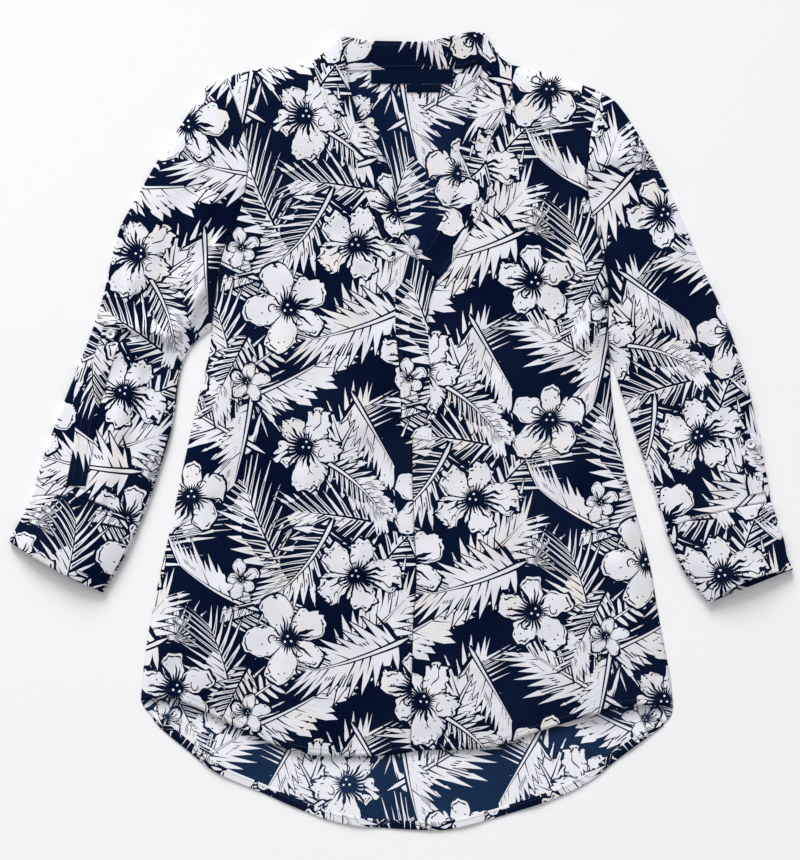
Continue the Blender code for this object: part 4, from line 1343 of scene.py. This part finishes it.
# %% Make the sleeves and cuffs
CUFF_WALL = 1.1       # thickness of the turned-up cuff, two layers and their air
CUFF_CLOTH = 0.35     # thickness of its cloth alone
CUFF_RISE = 1.5       # how far the cuff's outer face lies over the sleeve's
CUFF_TURN = 9.0       # how far the rolled ends of the cuff reach inside it
CUFF_FLAT = 1.6       # how far from its ends its flat stretch begins
CUFF_ROWS = 20        # rows of the flat stretch
# rows of a rolled end: distance from the end, share of the wall inside the outer face
CUFF_ROLL = [(CUFF_TURN, 1.0), (1.2, 1.0), (0.3, 0.8), (0.0, 0.45), (0.4, 0.1)]
CUFF_STEPS = 200      # points on each edge, from which the rows' ends are picked
CUFF_INSET = 0.65     # how much more than its half height a folded edge is set in
CUFF_DROP, CUFF_DROP_RUN = 0.6, 9.0  # how the cuff sinks towards its open end
GAPE_RUN = 14.0       # distance in which the upper layer's pulled-back end evens out
RUN_COLUMN = 20       # the column along which the cuff's cut is measured


def cuff_profile(depth):
    """The cuff's rows: share of its depth, and how far inside the outer face, rolled ends too."""
    rolled = [(away / depth, CUFF_WALL * inside) for away, inside in CUFF_ROLL]
    flat = [(share, 0.0) for share in np.linspace(CUFF_FLAT / depth, 1 - CUFF_FLAT / depth, CUFF_ROWS)]
    return rolled + flat + [(1 - share, inside) for share, inside in reversed(rolled)]


def cuff_loops(half):
    """Loops round the cuff, from the end that lies on the sleeve to the open end."""
    up = up_the_sleeve(half)
    outer, inner = smooth(half["cuff_outer"], CUFF_STEPS), smooth(half["cuff_inner"], CUFF_STEPS)
    bow_top, bow_end = half["cuff_bow"]
    depth = length_of(outer)
    across = np.sin(np.linspace(0, math.pi, COLUMNS)) ** 0.7
    loops = []
    for share, inside in cuff_profile(depth):
        held = float(np.clip(share, 0, 1))
        spot = round(CUFF_STEPS * held)
        row = bowed(outer[spot], inner[spot], up * (bow_top + (bow_end - bow_top) * share), COLUMNS)
        centre, wide = (row[0] + row[-1]) / 2, np.linalg.norm(row[-1] - row[0])
        sides = upper_height(*row[[0, -1]].T).mean() + CUFF_RISE - TABLE_GAP
        inset = sides / 2 + CUFF_INSET + inside * 0.5
        row = centre + (row - centre) * (1 - 2 * inset / wide)
        to_end = depth * (1 - held)
        top = upper_height(*row.T) + CUFF_RISE - inside - CUFF_DROP * math.exp(-to_end / CUFF_DROP_RUN)
        loop = tube_loop(row, TABLE_GAP + inside, top)
        pulled = half["cuff_gape"] * math.exp(-to_end / GAPE_RUN) * across
        loop[:COLUMNS, :2] += pulled[:, None] * up
        loops.append(loop)
    return np.array(loops)


def make_cuff(side, half, offset):
    """A cuff as one closed tube with its ends rolled in."""
    loops = cuff_loops(half)
    coords = unrolled(loops, up_the_sleeve(half))
    run, last_flat = run_of(loops[:, RUN_COLUMN]), len(CUFF_ROLL) + CUFF_ROWS - 1
    coords[..., 1] = coords[last_flat, :, 1] + (run[last_flat] - run)[:, None]
    piece, corners = cloth(f"cloth_cuff_{side}", loops, coords, offset, seam=COLUMNS - 1, wall=CUFF_CLOTH)
    declare(piece, f"cuff_{side}", corners)


make_sleeve("right", RIGHT, (12, 72))
make_cuff("right", RIGHT, (96, 168))
make_sleeve("left", LEFT, (220, 110))
make_cuff("left", LEFT, (260, 260))

# %% [markdown]
# ## Straps and bands
#
# The collar, the placket, the tabs, the back's hem and the labels are flat strips of folded
# cloth. A folded strip is a thin pillow: two faces that meet at a rounded edge all round.
# `strip` makes one from a grid of middle points and the direction its face looks. It takes no
# Solidify modifier, since its two faces are real and its rim is round.

# %% Strips
UP = np.array([0.0, 0.0, 1.0])


def rounded_shares(length, step, edge):
    """Shares of a length with extra ones close to its ends, and how full the strip is there."""
    close = np.array([0.0, 0.12, 0.45, 1.0]) * edge / length
    middle = np.linspace(close[-1], 1 - close[-1], max(int(length / step), 2) + 1)
    found = np.concatenate([close[:-1], middle, 1 - close[-2::-1]])
    near = np.minimum(found, 1 - found) * length / edge
    return found, np.sqrt(1 - (1 - np.clip(near, 0, 1)) ** 2)


def strip(name, middle, normals, fullness, wall, coords, offset, turn=0.0, material=CLOTH):
    """A folded strip of cloth: two faces that share a rounded rim; also its cut and its upper face."""
    rows, columns = middle.shape[:2]
    full_along, full_across = fullness
    full = full_along[:, None, None] * full_across[None, :, None]
    upper = middle + normals * wall / 2 * full
    lower = middle - normals * wall / 2 * full
    index = np.arange(rows * columns).reshape(rows, columns)
    under = index.copy()
    inside = np.arange((rows - 2) * (columns - 2)).reshape(rows - 2, columns - 2)
    under[1:-1, 1:-1] = rows * columns + inside
    quads, corner_rows, corner_columns = grid_faces(rows, columns)
    cut = coords[corner_rows, corner_columns]
    faces = np.concatenate([quads, under[corner_rows, corner_columns][:, ::-1]])
    corners = np.concatenate([cut, cut[:, ::-1]])
    first, second, last = (middle[corner_rows[:, corner], corner_columns[:, corner]] for corner in (0, 1, 3))
    looks = normals[corner_rows[:, 0], corner_columns[:, 0]]
    if (np.cross(second - first, last - first) * looks).sum() < 0:
        faces, corners = faces[:, ::-1], corners[:, ::-1]
    points = np.concatenate([upper.reshape(-1, 3), lower[1:-1, 1:-1].reshape(-1, 3)])
    piece = make_mesh(name, points, faces.tolist())
    print_on(piece, corners, offset, turn)
    piece.data.materials.append(material)
    return piece, cut, upper


def unrolled_strip(middle):
    """Places of a strip on the flat cut: along its length and across it."""
    run = run_of(middle[:, middle.shape[1] // 2])
    wide = np.linalg.norm(np.diff(middle, axis=1), axis=2).mean(0)
    wide = np.concatenate([[0.0], np.cumsum(wide)])
    return np.stack(np.broadcast_arrays(wide[None, :], run[:, None]), -1).astype(float)


def lay_strip(name, node, plan, height, fullness, wall, offset, coords=None,
              turn=0.0, turning=0.0, material=CLOTH):
    """A strip that lies face up at these heights, declared; gives its upper face."""
    middle = raised(plan, height)
    coords = unrolled_strip(middle) if coords is None else coords
    normals = np.broadcast_to(UP, middle.shape)
    piece, corners, upper = strip(name, middle, normals, fullness, wall, coords, offset, turn, material)
    declare(piece, node, corners, turning)
    return upper

# %% [markdown]
# ## The band collar
#
# A band collar is one strip. It climbs one side of the neck, folds over at the shoulder, runs
# round the back of the neck with its inside up and comes down the other side. The fold is a
# half turn about the crease, so the strip is never cut.

# %% Rows of the collar
COLLAR_WALL = 1.1
COLLAR_ABOVE = 0.9    # between the cloth under the band and the band's middle
BAND_LEVEL = 1.4      # height of the middle of the band's back stretch at its seam
BAND_STAND = 5.0      # how much higher its free edge stands, halfway round
CREASE_DIP = 2.5      # how far a shoulder's crease sags towards the neck
FOLDS_FACE = {"right": (0.6, -0.8), "left": (-0.75, -0.65)}    # how each fold faces the neck
BAND_WIDTH = 34.0
BAND_STEPS, BEHIND_STEPS = 90, 60     # rows up a side of the neck, and round the back of it
FOLD_TURNS = np.radians([75, 60, 45, 30, 15, 0, -15, -30, -45, -60, -75, -90])
ACROSS, FULL_ACROSS = rounded_shares(BAND_WIDTH, 3.0, 1.2)


def spread(seam, edge):
    """Plan points across the band, from its seam to its free edge."""
    return np.asarray(seam, float) + (np.asarray(edge, float) - seam) * ACROSS[:, None]


def all_facing(direction):
    """The same direction for each point across the band."""
    return np.tile(direction, (len(ACROSS), 1))


def climbing_rows(band):
    """Rows up a side of the neck, where the band's outside is up."""
    rows = []
    for row in smooth(band[::-1], BAND_STEPS):
        plan = spread(row[:2], row[2:])
        rows.append(raised(plan, upper_height(plan[:, 0], plan[:, 1], edge=EDGE_TOP) + COLLAR_ABOVE))
    return rows


def folding_rows(crease, inward, high):
    """Rows of the half turn about the crease at a shoulder, and how they face."""
    radius = (high - BAND_LEVEL) / 2
    rows, normals = [], []
    for angle in FOLD_TURNS:
        plan = crease + inward * (radius * (1 - math.cos(angle)))[:, None]
        rows.append(raised(plan, (high + BAND_LEVEL) / 2 + radius * math.sin(angle)))
        normals.append(all_facing((*(-inward * math.cos(angle)), math.sin(angle))))
    return rows, normals


def behind_rows():
    """Rows round the back of the neck, where the band's inside is up and its free edge stands."""
    seams, edges = smooth(NECK_SEAM, BEHIND_STEPS), smooth(COLLAR_TOP, BEHIND_STEPS)
    rows = []
    for step in range(2, BEHIND_STEPS - 1):
        plan = spread(seams[step], edges[step])
        rows.append(raised(plan, BAND_LEVEL + BAND_STAND * ACROSS * math.sin(math.pi * step / BEHIND_STEPS)))
    return rows


print("the collar has", len(ACROSS), "points across and", len(behind_rows()), "rows behind the neck")

# %% Make the collar


def make_collar():
    """The whole band as one strip; gives its middle points and how they face, for the stitches."""
    rows, normals = [], []
    for name, band, seam, edge in (("right", RIGHT_BAND, NECK_SEAM[0], COLLAR_TOP[0]),
                                   ("left", LEFT_BAND, NECK_SEAM[-1], COLLAR_TOP[-1])):
        inward = np.array(FOLDS_FACE[name]) / np.linalg.norm(FOLDS_FACE[name])
        crease = spread(seam, edge) + inward * CREASE_DIP * 4 * (ACROSS * (1 - ACROSS))[:, None]
        climbing = climbing_rows(band)
        folding, fold_normals = folding_rows(crease, inward, climbing[-1][:, 2])
        upward = [all_facing(UP)] * len(climbing)
        if name == "right":
            behind = behind_rows()
            rows += climbing + folding + behind
            normals += upward + fold_normals + [all_facing(-UP)] * len(behind)
        else:
            rows += folding[::-1] + climbing[::-1]
            normals += fold_normals[::-1] + upward
    middle, normals = np.array(rows), np.array(normals)
    full_along = np.ones(len(middle))
    full_along[[0, -1]] = 0
    piece, corners, _ = strip("cloth_collar", middle, normals, (full_along, FULL_ACROSS), COLLAR_WALL,
                              unrolled_strip(middle), (20, 150))
    declare(piece, "collar", corners)
    return middle, normals


collar_middle, collar_normals = make_collar()

# %% [markdown]
# ## The placket
#
# The half opening down the chest is closed by a strip stitched through both fronts. It lies on
# them, so its height is theirs and a little more.

# %% Make the placket
PLACKET_WIDTH, PLACKET_LENGTH = 35.0, 205.0
PLACKET_WALL = 1.0
PLACKET_ABOVE = 0.75  # between the fronts' upper face and the middle of the placket


def make_placket():
    """The strip over the opening; gives its upper face, for the stitches."""
    across, full_across = rounded_shares(PLACKET_WIDTH, 3.0, 1.0)
    along, full_along = rounded_shares(PLACKET_LENGTH, 3.0, 1.0)
    left, right = at_shares(PLACKET_LEFT, along), at_shares(PLACKET_RIGHT, along)
    bottom = np.array([PLACKET_LEFT[0], PLACKET_RIGHT[0]], float)
    plan = patch(bottom, PLACKET_TOP, left, right, across, along)
    height = upper_height(plan[..., 0], plan[..., 1]) + PLACKET_ABOVE
    return lay_strip("cloth_placket", "placket", plan, height, (full_along, full_across), PLACKET_WALL,
                     (110, 260),
                     coords=plan - plan.reshape(-1, 2).min(0))


placket_top = make_placket()

# %% [markdown]
# ## The back's hem
#
# The back's curved edge is turned up onto its inside, so the band that shows is the right side
# of the cloth: darker than the tail it lies on. Its print is laid a quarter turn round, so that
# it never lines up with the tail's.

# %% Make the back hem
HEM_BAND = 9.5
HEM_WALL = 0.7
HEM_FROM, HEM_TO, HEM_ROWS = 0.035, 0.965, 180    # shares of the edge where it begins and ends


def make_back_hem():
    """The turned-up edge of the tail; gives its upper face, for the stitches."""
    across, full_across = rounded_shares(HEM_BAND, 2.0, 0.8)
    edge = at_shares(BACK_HEM, np.linspace(HEM_FROM, HEM_TO, HEM_ROWS))
    inner = shifted(edge, HEM_BAND)
    plan = edge[:, None] + (inner - edge)[:, None] * across[None, :, None]
    height = tail_height(plan[..., 0], plan[..., 1]) + HEM_WALL / 2
    full_along = np.ones(len(plan))
    full_along[[0, -1]] = 0
    return lay_strip("cloth_back_hem", "back_hem", plan, height, (full_along, full_across), HEM_WALL,
                     (50, 300), turn=90, turning=1.0)


back_hem_top = make_back_hem()

# %% [markdown]
# ## The tabs
#
# A tab is a folded strap with a square end that holds the rolled sleeve up. It comes out from
# under the cuff and lies along the sleeve, a little over its upper face.

# %% Make the tabs
TAB_WIDTH = 21.0
TAB_WALL = 1.2
TAB_ABOVE = 0.9       # between the sleeve's upper face and the middle of the tab


def make_tab(side, half, offset):
    """A strap on a sleeve; gives its upper face, for the button and the stitches."""
    across, full_across = rounded_shares(TAB_WIDTH, 2.5, 0.9)
    along, full_along = rounded_shares(length_of(half["tab"]), 2.5, 0.9)
    centre = at_shares(half["tab"], along)
    plan = np.stack([shifted(centre, TAB_WIDTH * (0.5 - share)) for share in across], 1)
    height = upper_height(plan[..., 0], plan[..., 1], edge=EDGE_TOP) + TAB_ABOVE
    return lay_strip(f"cloth_tab_{side}", f"tab_{side}", plan, height, (full_along, full_across), TAB_WALL,
                     offset)


tab_tops = {"right": make_tab("right", RIGHT, (84, 190)), "left": make_tab("left", LEFT, (10, 20))}

# %% [markdown]
# ## Materials of the button and the thread
#
# A shirt button is polished shell or its plastic likeness: pale, a little cloudy, glossy under
# a clear coat. Sewing thread is dull and twisted, and darker than the white of the print, so
# that a row of stitches shows on it.

# %% Materials of the button and the thread
PEARL_GREY, PEARL_WHITE = (0.66, 0.67, 0.72), (0.86, 0.85, 0.86)
THREAD_DARK, THREAD_PALE = (0.040, 0.050, 0.100), (0.080, 0.092, 0.160)


def pearl_material():
    """Cloudy and glossy under a clear coat."""
    material, shader = start_material("pearl_button", 0.28)
    shader.inputs["Coat Weight"].default_value = 0.5
    shader.inputs["Coat Roughness"].default_value = 0.12
    cloud = stretch(grain(420.0, 3.0), 0.35, 0.7)
    paint(shader, blend_colours(cloud, PEARL_GREY, PEARL_WHITE))
    link_bump(shader, cloud, 0.15, 0.0001)
    return material


def thread_material():
    """Dull navy with a fine change of tone, which stands for the twist."""
    material, shader = start_material("sewing_thread", 0.7)
    shader.inputs["Specular IOR Level"].default_value = 0.2
    twist = stretch(grain(900.0, 2.0), 0.3, 0.7)
    paint(shader, blend_colours(twist, THREAD_DARK, THREAD_PALE))
    return material


PEARL, THREAD = pearl_material(), thread_material()
print(PEARL.name, "has", len(PEARL.node_tree.nodes), "nodes")

# %% [markdown]
# ## Turned shapes and rods
#
# A button is turned on a lathe, so its mesh is a profile spun round an axis. A rod is simpler
# still. Rods are both the drill for the holes and the thread that runs through them.

# %% Turned shapes and rods


def turned(name, profile, x, y, base, radius, height, around=48):
    """A turned shape from its profile, with a point at both ends of its axis."""
    angles = np.linspace(0, 2 * math.pi, around, endpoint=False)
    points = [(x, y, base + height * profile[0][1])]
    for out, up in profile[1:-1]:
        points += [(x + radius * out * math.cos(a), y + radius * out * math.sin(a), base + height * up)
                   for a in angles]
    points.append((x, y, base + height * profile[-1][1]))
    faces, rings = [], len(profile) - 2
    for spot in range(around):
        after = (spot + 1) % around
        faces.append((0, 1 + after, 1 + spot))
        for ring in range(rings - 1):
            low, high = 1 + ring * around, 1 + (ring + 1) * around
            faces.append((low + spot, low + after, high + after, high + spot))
        last = 1 + (rings - 1) * around
        faces.append((last + spot, last + after, len(points) - 1))
    return make_mesh(name, points, faces)


def rod(start, end, radius, sides=8):
    """Points and faces of a short capped rod."""
    start, end = np.asarray(start, float), np.asarray(end, float)
    axis = (end - start) / np.linalg.norm(end - start)
    side = np.cross(axis, UP if abs(axis[2]) < 0.9 else (1.0, 0.0, 0.0))
    side = side / np.linalg.norm(side)
    other = np.cross(axis, side)
    angles = np.linspace(0, 2 * math.pi, sides, endpoint=False)
    ring = np.array([side * math.cos(a) + other * math.sin(a) for a in angles]) * radius
    points = np.concatenate([start + ring, end + ring])
    faces = [(k, (k + 1) % sides, sides + (k + 1) % sides, sides + k) for k in range(sides)]
    return points, faces + [tuple(range(sides))[::-1], tuple(range(sides, 2 * sides))]


def gathered(name, parts):
    """Several small meshes as one object."""
    points, faces, start = [], [], 0
    for part_points, part_faces in parts:
        points.append(part_points)
        faces += [tuple(start + k for k in face) for face in part_faces]
        start += len(part_points)
    return make_mesh(name, np.concatenate(points), faces)


# %% [markdown]
# ## Buttons
#
# A shirt button has a raised rim and a dished middle. Four holes are drilled through it by a
# Boolean, which is how they get sharp edges. The thread that holds it crosses from hole to hole.

# %% Make the buttons
BUTTON_RADIUS = 5.2
BUTTON_HEIGHT = 2.2
HOLE_RADIUS, HOLE_OUT = 0.62, 1.35    # the holes' radius, and how far out from the middle they are
HOLE_TURNS = (45, 135, 225, 315)
SEAT_GAP = 0.15                       # between the tab's highest point under it and the button
LEG_RADIUS, BAR_RADIUS = 0.4, 0.32    # of the thread in a hole, and of the thread across the top

# share of the radius and share of the height, from the middle of the underside to that of the top
BUTTON_PROFILE = [
    (0.0, 0.0), (0.5, 0.0), (0.86, 0.08), (0.97, 0.26), (1.0, 0.5), (0.98, 0.74), (0.93, 0.92),
    (0.85, 1.0), (0.77, 0.96), (0.70, 0.80), (0.60, 0.70), (0.3, 0.66), (0.0, 0.65),
]


def drill(button, rods):
    """Cuts rods out of the button and keeps what is left as its mesh."""
    cutter = gathered("holes", rods)
    cut = button.modifiers.new("holes", "BOOLEAN")
    cut.object = cutter
    bpy.context.view_layer.update()
    mesh = bpy.data.meshes.new_from_object(button.evaluated_get(bpy.context.evaluated_depsgraph_get()))
    button.modifiers.clear()
    button.data = mesh
    bpy.data.objects.remove(cutter)
    mesh.materials.clear()
    mesh.materials.append(PEARL)
    mesh.set_sharp_from_angle(angle=math.radians(50))


def make_button(side, half):
    """A button on its tab, and the thread through it."""
    x, y = half["button"]
    top = tab_tops[side]
    near = np.hypot(top[..., 0] - x, top[..., 1] - y) < BUTTON_RADIUS
    seat = top[near][:, 2].max() + SEAT_GAP
    button = turned(f"pearl_button_{side}", BUTTON_PROFILE, x, y, seat, BUTTON_RADIUS, BUTTON_HEIGHT)
    holes, threads, ends = [], [], []
    for turn in np.radians(HOLE_TURNS):
        hole = (x + HOLE_OUT * math.cos(turn), y + HOLE_OUT * math.sin(turn))
        ends.append(hole)
        holes.append(rod((*hole, seat - 2), (*hole, seat + BUTTON_HEIGHT + 2), HOLE_RADIUS, 16))
        threads.append(rod((*hole, seat - 0.1), (*hole, seat + 0.72 * BUTTON_HEIGHT), LEG_RADIUS))
    bar = seat + 0.78 * BUTTON_HEIGHT
    threads.append(rod((*ends[0], bar), (*ends[2], bar), BAR_RADIUS))
    threads.append(rod((*ends[1], bar + 0.3), (*ends[3], bar + 0.3), BAR_RADIUS))
    drill(button, holes)
    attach(button, "root")
    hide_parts(f"button_{side}")
    cross = gathered(f"button_thread_{side}", threads)
    cross.data.materials.append(THREAD)
    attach(cross, "root")
    print(button.name, "seated", round(seat, 1), "mm over the table")


for side, half in (("right", RIGHT), ("left", LEFT)):
    make_button(side, half)

# %% [markdown]
# ## Labels
#
# A woven label is a narrow ribbed tape with its ends folded in. It is a strip like the others,
# with a material of its own: dark, a little silky, with fine ribs in the bump. Both are bare.

# %% Make the labels
LABEL_WALL = 0.8
RIB_PITCH = 0.0006                    # metres from one rib of the weave to the next
LABEL_DARK, LABEL_PALE = (0.0006, 0.0044, 0.0170), (0.0012, 0.0080, 0.0280)


def label_material():
    """Dark woven tape with ribs."""
    material, shader = start_material("woven_label", 0.6)
    shader.inputs["Specular IOR Level"].default_value = 0.02
    grid = Wire.tree.nodes.new("ShaderNodeUVMap")
    grid.uv_map = "cloth"
    ribs = sine(split(grid.outputs[0])[1] * (2 * math.pi / RIB_PITCH)) * 0.5 + 0.5
    paint(shader, blend_colours(ribs, LABEL_DARK, LABEL_PALE))
    link_bump(shader, ribs, 0.3, 0.0001)
    return material


LABEL = label_material()


def make_label(name, node, box, level, turning):
    """A bare label in its box on the table, gently waving at its level."""
    x0, y0, x1, y1 = box
    across, full_across = rounded_shares(x1 - x0, 3.0, 0.5)
    along, full_along = rounded_shares(y1 - y0, 3.0, 0.5)
    plan = np.stack(np.meshgrid(x0 + (x1 - x0) * across, y0 + (y1 - y0) * along), -1)
    height = level + 0.12 * np.sin(plan[..., 0] / 9.0) + 0.10 * np.sin(plan[..., 1] / 5.0 + 1)
    lay_strip(name, node, plan, height, (full_along, full_across), LABEL_WALL, (0, 0),
              coords=plan - plan.reshape(-1, 2).min(0), turning=turning, material=LABEL)


make_label("woven_neck_label", "neck_label", NECK_LABEL, 1.5, 0.0)
make_label("woven_size_label", "size_label", SIZE_LABEL, 1.3, 3.0)

# %% [markdown]
# ## Stitches
#
# A row of lockstitch is a row of short capsules, each with its ends pulled into the cloth. They
# are real meshes, so they catch light and throw small shadows, and each row is one object that
# can be hidden or recoloured alone.

# %% How to sew
STITCH, STITCH_GAP, THREAD_RADIUS = 2.3, 0.7, 0.17
# share along a stitch, share of the thread's thickness there
CAPSULE = [(-0.5, 0.15), (-0.42, 0.75), (-0.2, 1.0), (0.2, 1.0), (0.42, 0.75), (0.5, 0.15)]
RING = np.radians([90, 30, -30, -90, -150, 150])
ABOVE = 0.1           # between the cloth and the middle of the thread


def evenly(line, step):
    """Points along a line in space, one step apart."""
    line = np.asarray(line, float)
    run = run_of(line)
    wanted = np.arange(step / 2, run[-1], step)
    return np.stack([np.interp(wanted, run, line[:, axis]) for axis in range(3)], 1)


def stitch_points(spot, ahead, side, over):
    """One capsule along the row, ring by ring; its ends sink into the cloth."""
    points = []
    for along, full in CAPSULE:
        centre = spot + ahead * along * STITCH + over * (THREAD_RADIUS * (1.3 * (full - 1)))
        points += [centre + (side * math.cos(a) + over * math.sin(a)) * THREAD_RADIUS * full for a in RING]
    return points


def stitch_faces(start):
    """Faces of the capsule whose points begin at this number."""
    sides, faces = len(RING), []
    last = start + (len(CAPSULE) - 1) * sides
    for low in range(start, last, sides):
        for k in range(sides):
            after = (k + 1) % sides
            faces.append((low + k, low + after, low + after + sides, low + k + sides))
    return faces + [tuple(range(start, start + sides))[::-1], tuple(range(last, last + sides))]


def sew(name, lines):
    """Rows of stitches along lines that lie on the cloth's face, as one object."""
    points, faces = [], []
    for line in lines:
        spots = evenly(line, STITCH + STITCH_GAP)
        if len(spots) < 2:
            continue
        ahead = np.gradient(spots, axis=0)
        ahead = ahead / np.linalg.norm(ahead, axis=1)[:, None]
        side = np.cross(ahead, UP)
        side = side / np.maximum(np.linalg.norm(side, axis=1)[:, None], 1e-6)
        for place in zip(spots, ahead, side, np.cross(side, ahead)):
            faces += stitch_faces(len(points))
            points += stitch_points(*place)
    piece = make_mesh(name, points, faces)
    piece.data.materials.append(THREAD)
    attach(piece, "root")
    print(name, len(points) // (len(CAPSULE) * len(RING)), "stitches")


def on_hem(line, hem):
    """A plan line laid on the front near its hem."""
    return raised(line, front_height(line[:, 0], line[:, 1], hem) + ABOVE)


print("a stitch has", len(stitch_faces(0)), "faces")

# %% [markdown]
# ## Where the stitches run
#
# The front hem is sewn just below the top of its double fold, a tab round its border, the
# collar and the placket along both long edges. The placket has two rows across its foot, where
# it is pulled most. On a strip a row of stitches is a column of the strip's own grid.

# %% Sew
SEAM_COLUMN = 4       # the column of a strip's grid that is sewn
TAB_BORDER = 5        # the same on a tab
BOX_ROW = 12          # the row where the box at the placket's foot ends
BEHIND = 110          # rows of the collar before the stretch whose inside is up
HEM_SEWN = 0.86       # where on the hem's depth its stitches run
OFF_BAND = 0.02       # between the collar's face and the middle of its thread

for side, half, inward in (("right", RIGHT, 1), ("left", LEFT, -1)):
    line = shifted(smooth(half["hem"], 90), HEM_DEPTH * HEM_SEWN * inward)
    sew(f"stitches_front_hem_{side}", [on_hem(line, smooth(half["hem"], HEM_STEPS))])
    border = tab_tops[side][TAB_BORDER:-TAB_BORDER, TAB_BORDER:-TAB_BORDER]
    sew(f"stitches_tab_{side}", [border[:, 0], border[:, -1], border[0]])

collar_face = collar_middle + collar_normals * (COLLAR_WALL / 2 + OFF_BAND)
collar_inside = (collar_middle - collar_normals * (COLLAR_WALL / 2 + OFF_BAND))[BEHIND:-BEHIND]
sew("stitches_collar", [
    collar_face[2:-2, SEAM_COLUMN], collar_face[2:-2, -SEAM_COLUMN - 1],
    collar_inside[:, SEAM_COLUMN], collar_inside[:, -SEAM_COLUMN - 1],
])
sew("stitches_placket", [
    placket_top[SEAM_COLUMN:, SEAM_COLUMN], placket_top[SEAM_COLUMN:, -SEAM_COLUMN - 1],
    placket_top[SEAM_COLUMN, SEAM_COLUMN:-SEAM_COLUMN], placket_top[BOX_ROW, SEAM_COLUMN:-SEAM_COLUMN],
])
sew("stitches_back_hem", [back_hem_top[2:-2, -SEAM_COLUMN - 1]])

# %% [markdown]
# ## The table
#
# The shirt lies on a plain white table. It is large, so that it fills the background of every
# view, and its white drifts a little, as painted boards do.

# %% The table
TABLE_HALF = 6000.0   # half the table's side
TABLE_WHITE, TABLE_WARM = (0.870, 0.870, 0.885), (0.895, 0.895, 0.905)


def table_material():
    """Matt white with a slow change of tone."""
    material, shader = start_material("white_table", 0.9)
    shader.inputs["Specular IOR Level"].default_value = 0.1
    paint(shader, blend_colours(grain(1.5, 2.0), TABLE_WHITE, TABLE_WARM))
    return material


around = ((-1, -1), (1, -1), (1, 1), (-1, 1))
floor = make_mesh("floor", [(x * TABLE_HALF, y * TABLE_HALF, 0.0) for x, y in around], [(0, 1, 2, 3)])
floor.data.materials.append(table_material())

# %% [markdown]
# ## Light
#
# A flat garment has no shape without a light that comes in low. An even sky fills every shadow,
# and one soft sun from beyond the collar rakes over the folds, so each has a bright and a dark
# side. A sun is used because its light is even over the whole shirt. A small lamp lifts the
# far corner of the table.

# %% Light
SKY, SKY_STRENGTH = (1.0, 1.0, 1.02, 1.0), 0.475


def lamp(name, kind, power, place, spread):
    """A soft lamp that looks at the middle of the table."""
    light = bpy.data.lights.new(name, kind)
    light.energy = power
    if kind == "SUN":
        light.angle = spread
    else:
        light.size = spread
    thing = bpy.data.objects.new(name, light)
    bpy.context.scene.collection.objects.link(thing)
    thing.location = place
    thing.rotation_euler = (-Vector(place)).to_track_quat("-Z", "Y").to_euler()


world = bpy.data.worlds.new("soft_room")
world.use_nodes = True
world.node_tree.nodes["Background"].inputs["Color"].default_value = SKY
world.node_tree.nodes["Background"].inputs["Strength"].default_value = SKY_STRENGTH
bpy.context.scene.world = world
lamp("window", "SUN", 3.2, (-0.55, 2.55, 1.25), math.radians(26))
lamp("corner", "AREA", 7.5, (-0.9, 1.1, 1.5), 1.0)
print("the sun stands", round(math.degrees(math.atan2(1.25, math.hypot(0.55, 2.55)))), "degrees high")

# %% [markdown]
# ## Camera
#
# The camera looks straight down, as it does over a flat lay. A long lens from far above keeps
# the edges of the shirt from looking tilted.

# %% Camera
FIELD = 0.946                 # metres that the image's long side covers
AIM = (-0.0011, 0.0009)       # the middle of the image on the table
LENS, SENSOR = 90.0, 36.0

camera = bpy.data.objects.new("camera", bpy.data.cameras.new("camera"))
camera.data.lens = LENS
camera.data.sensor_width = SENSOR
camera.location = (*AIM, FIELD * LENS / SENSOR)
camera.data.clip_end = 50.0
bpy.context.scene.collection.objects.link(camera)
bpy.context.scene.camera = camera
bpy.context.scene.view_settings.view_transform = "Standard"
print("the camera is", round(camera.location.z, 2), "m over the table")
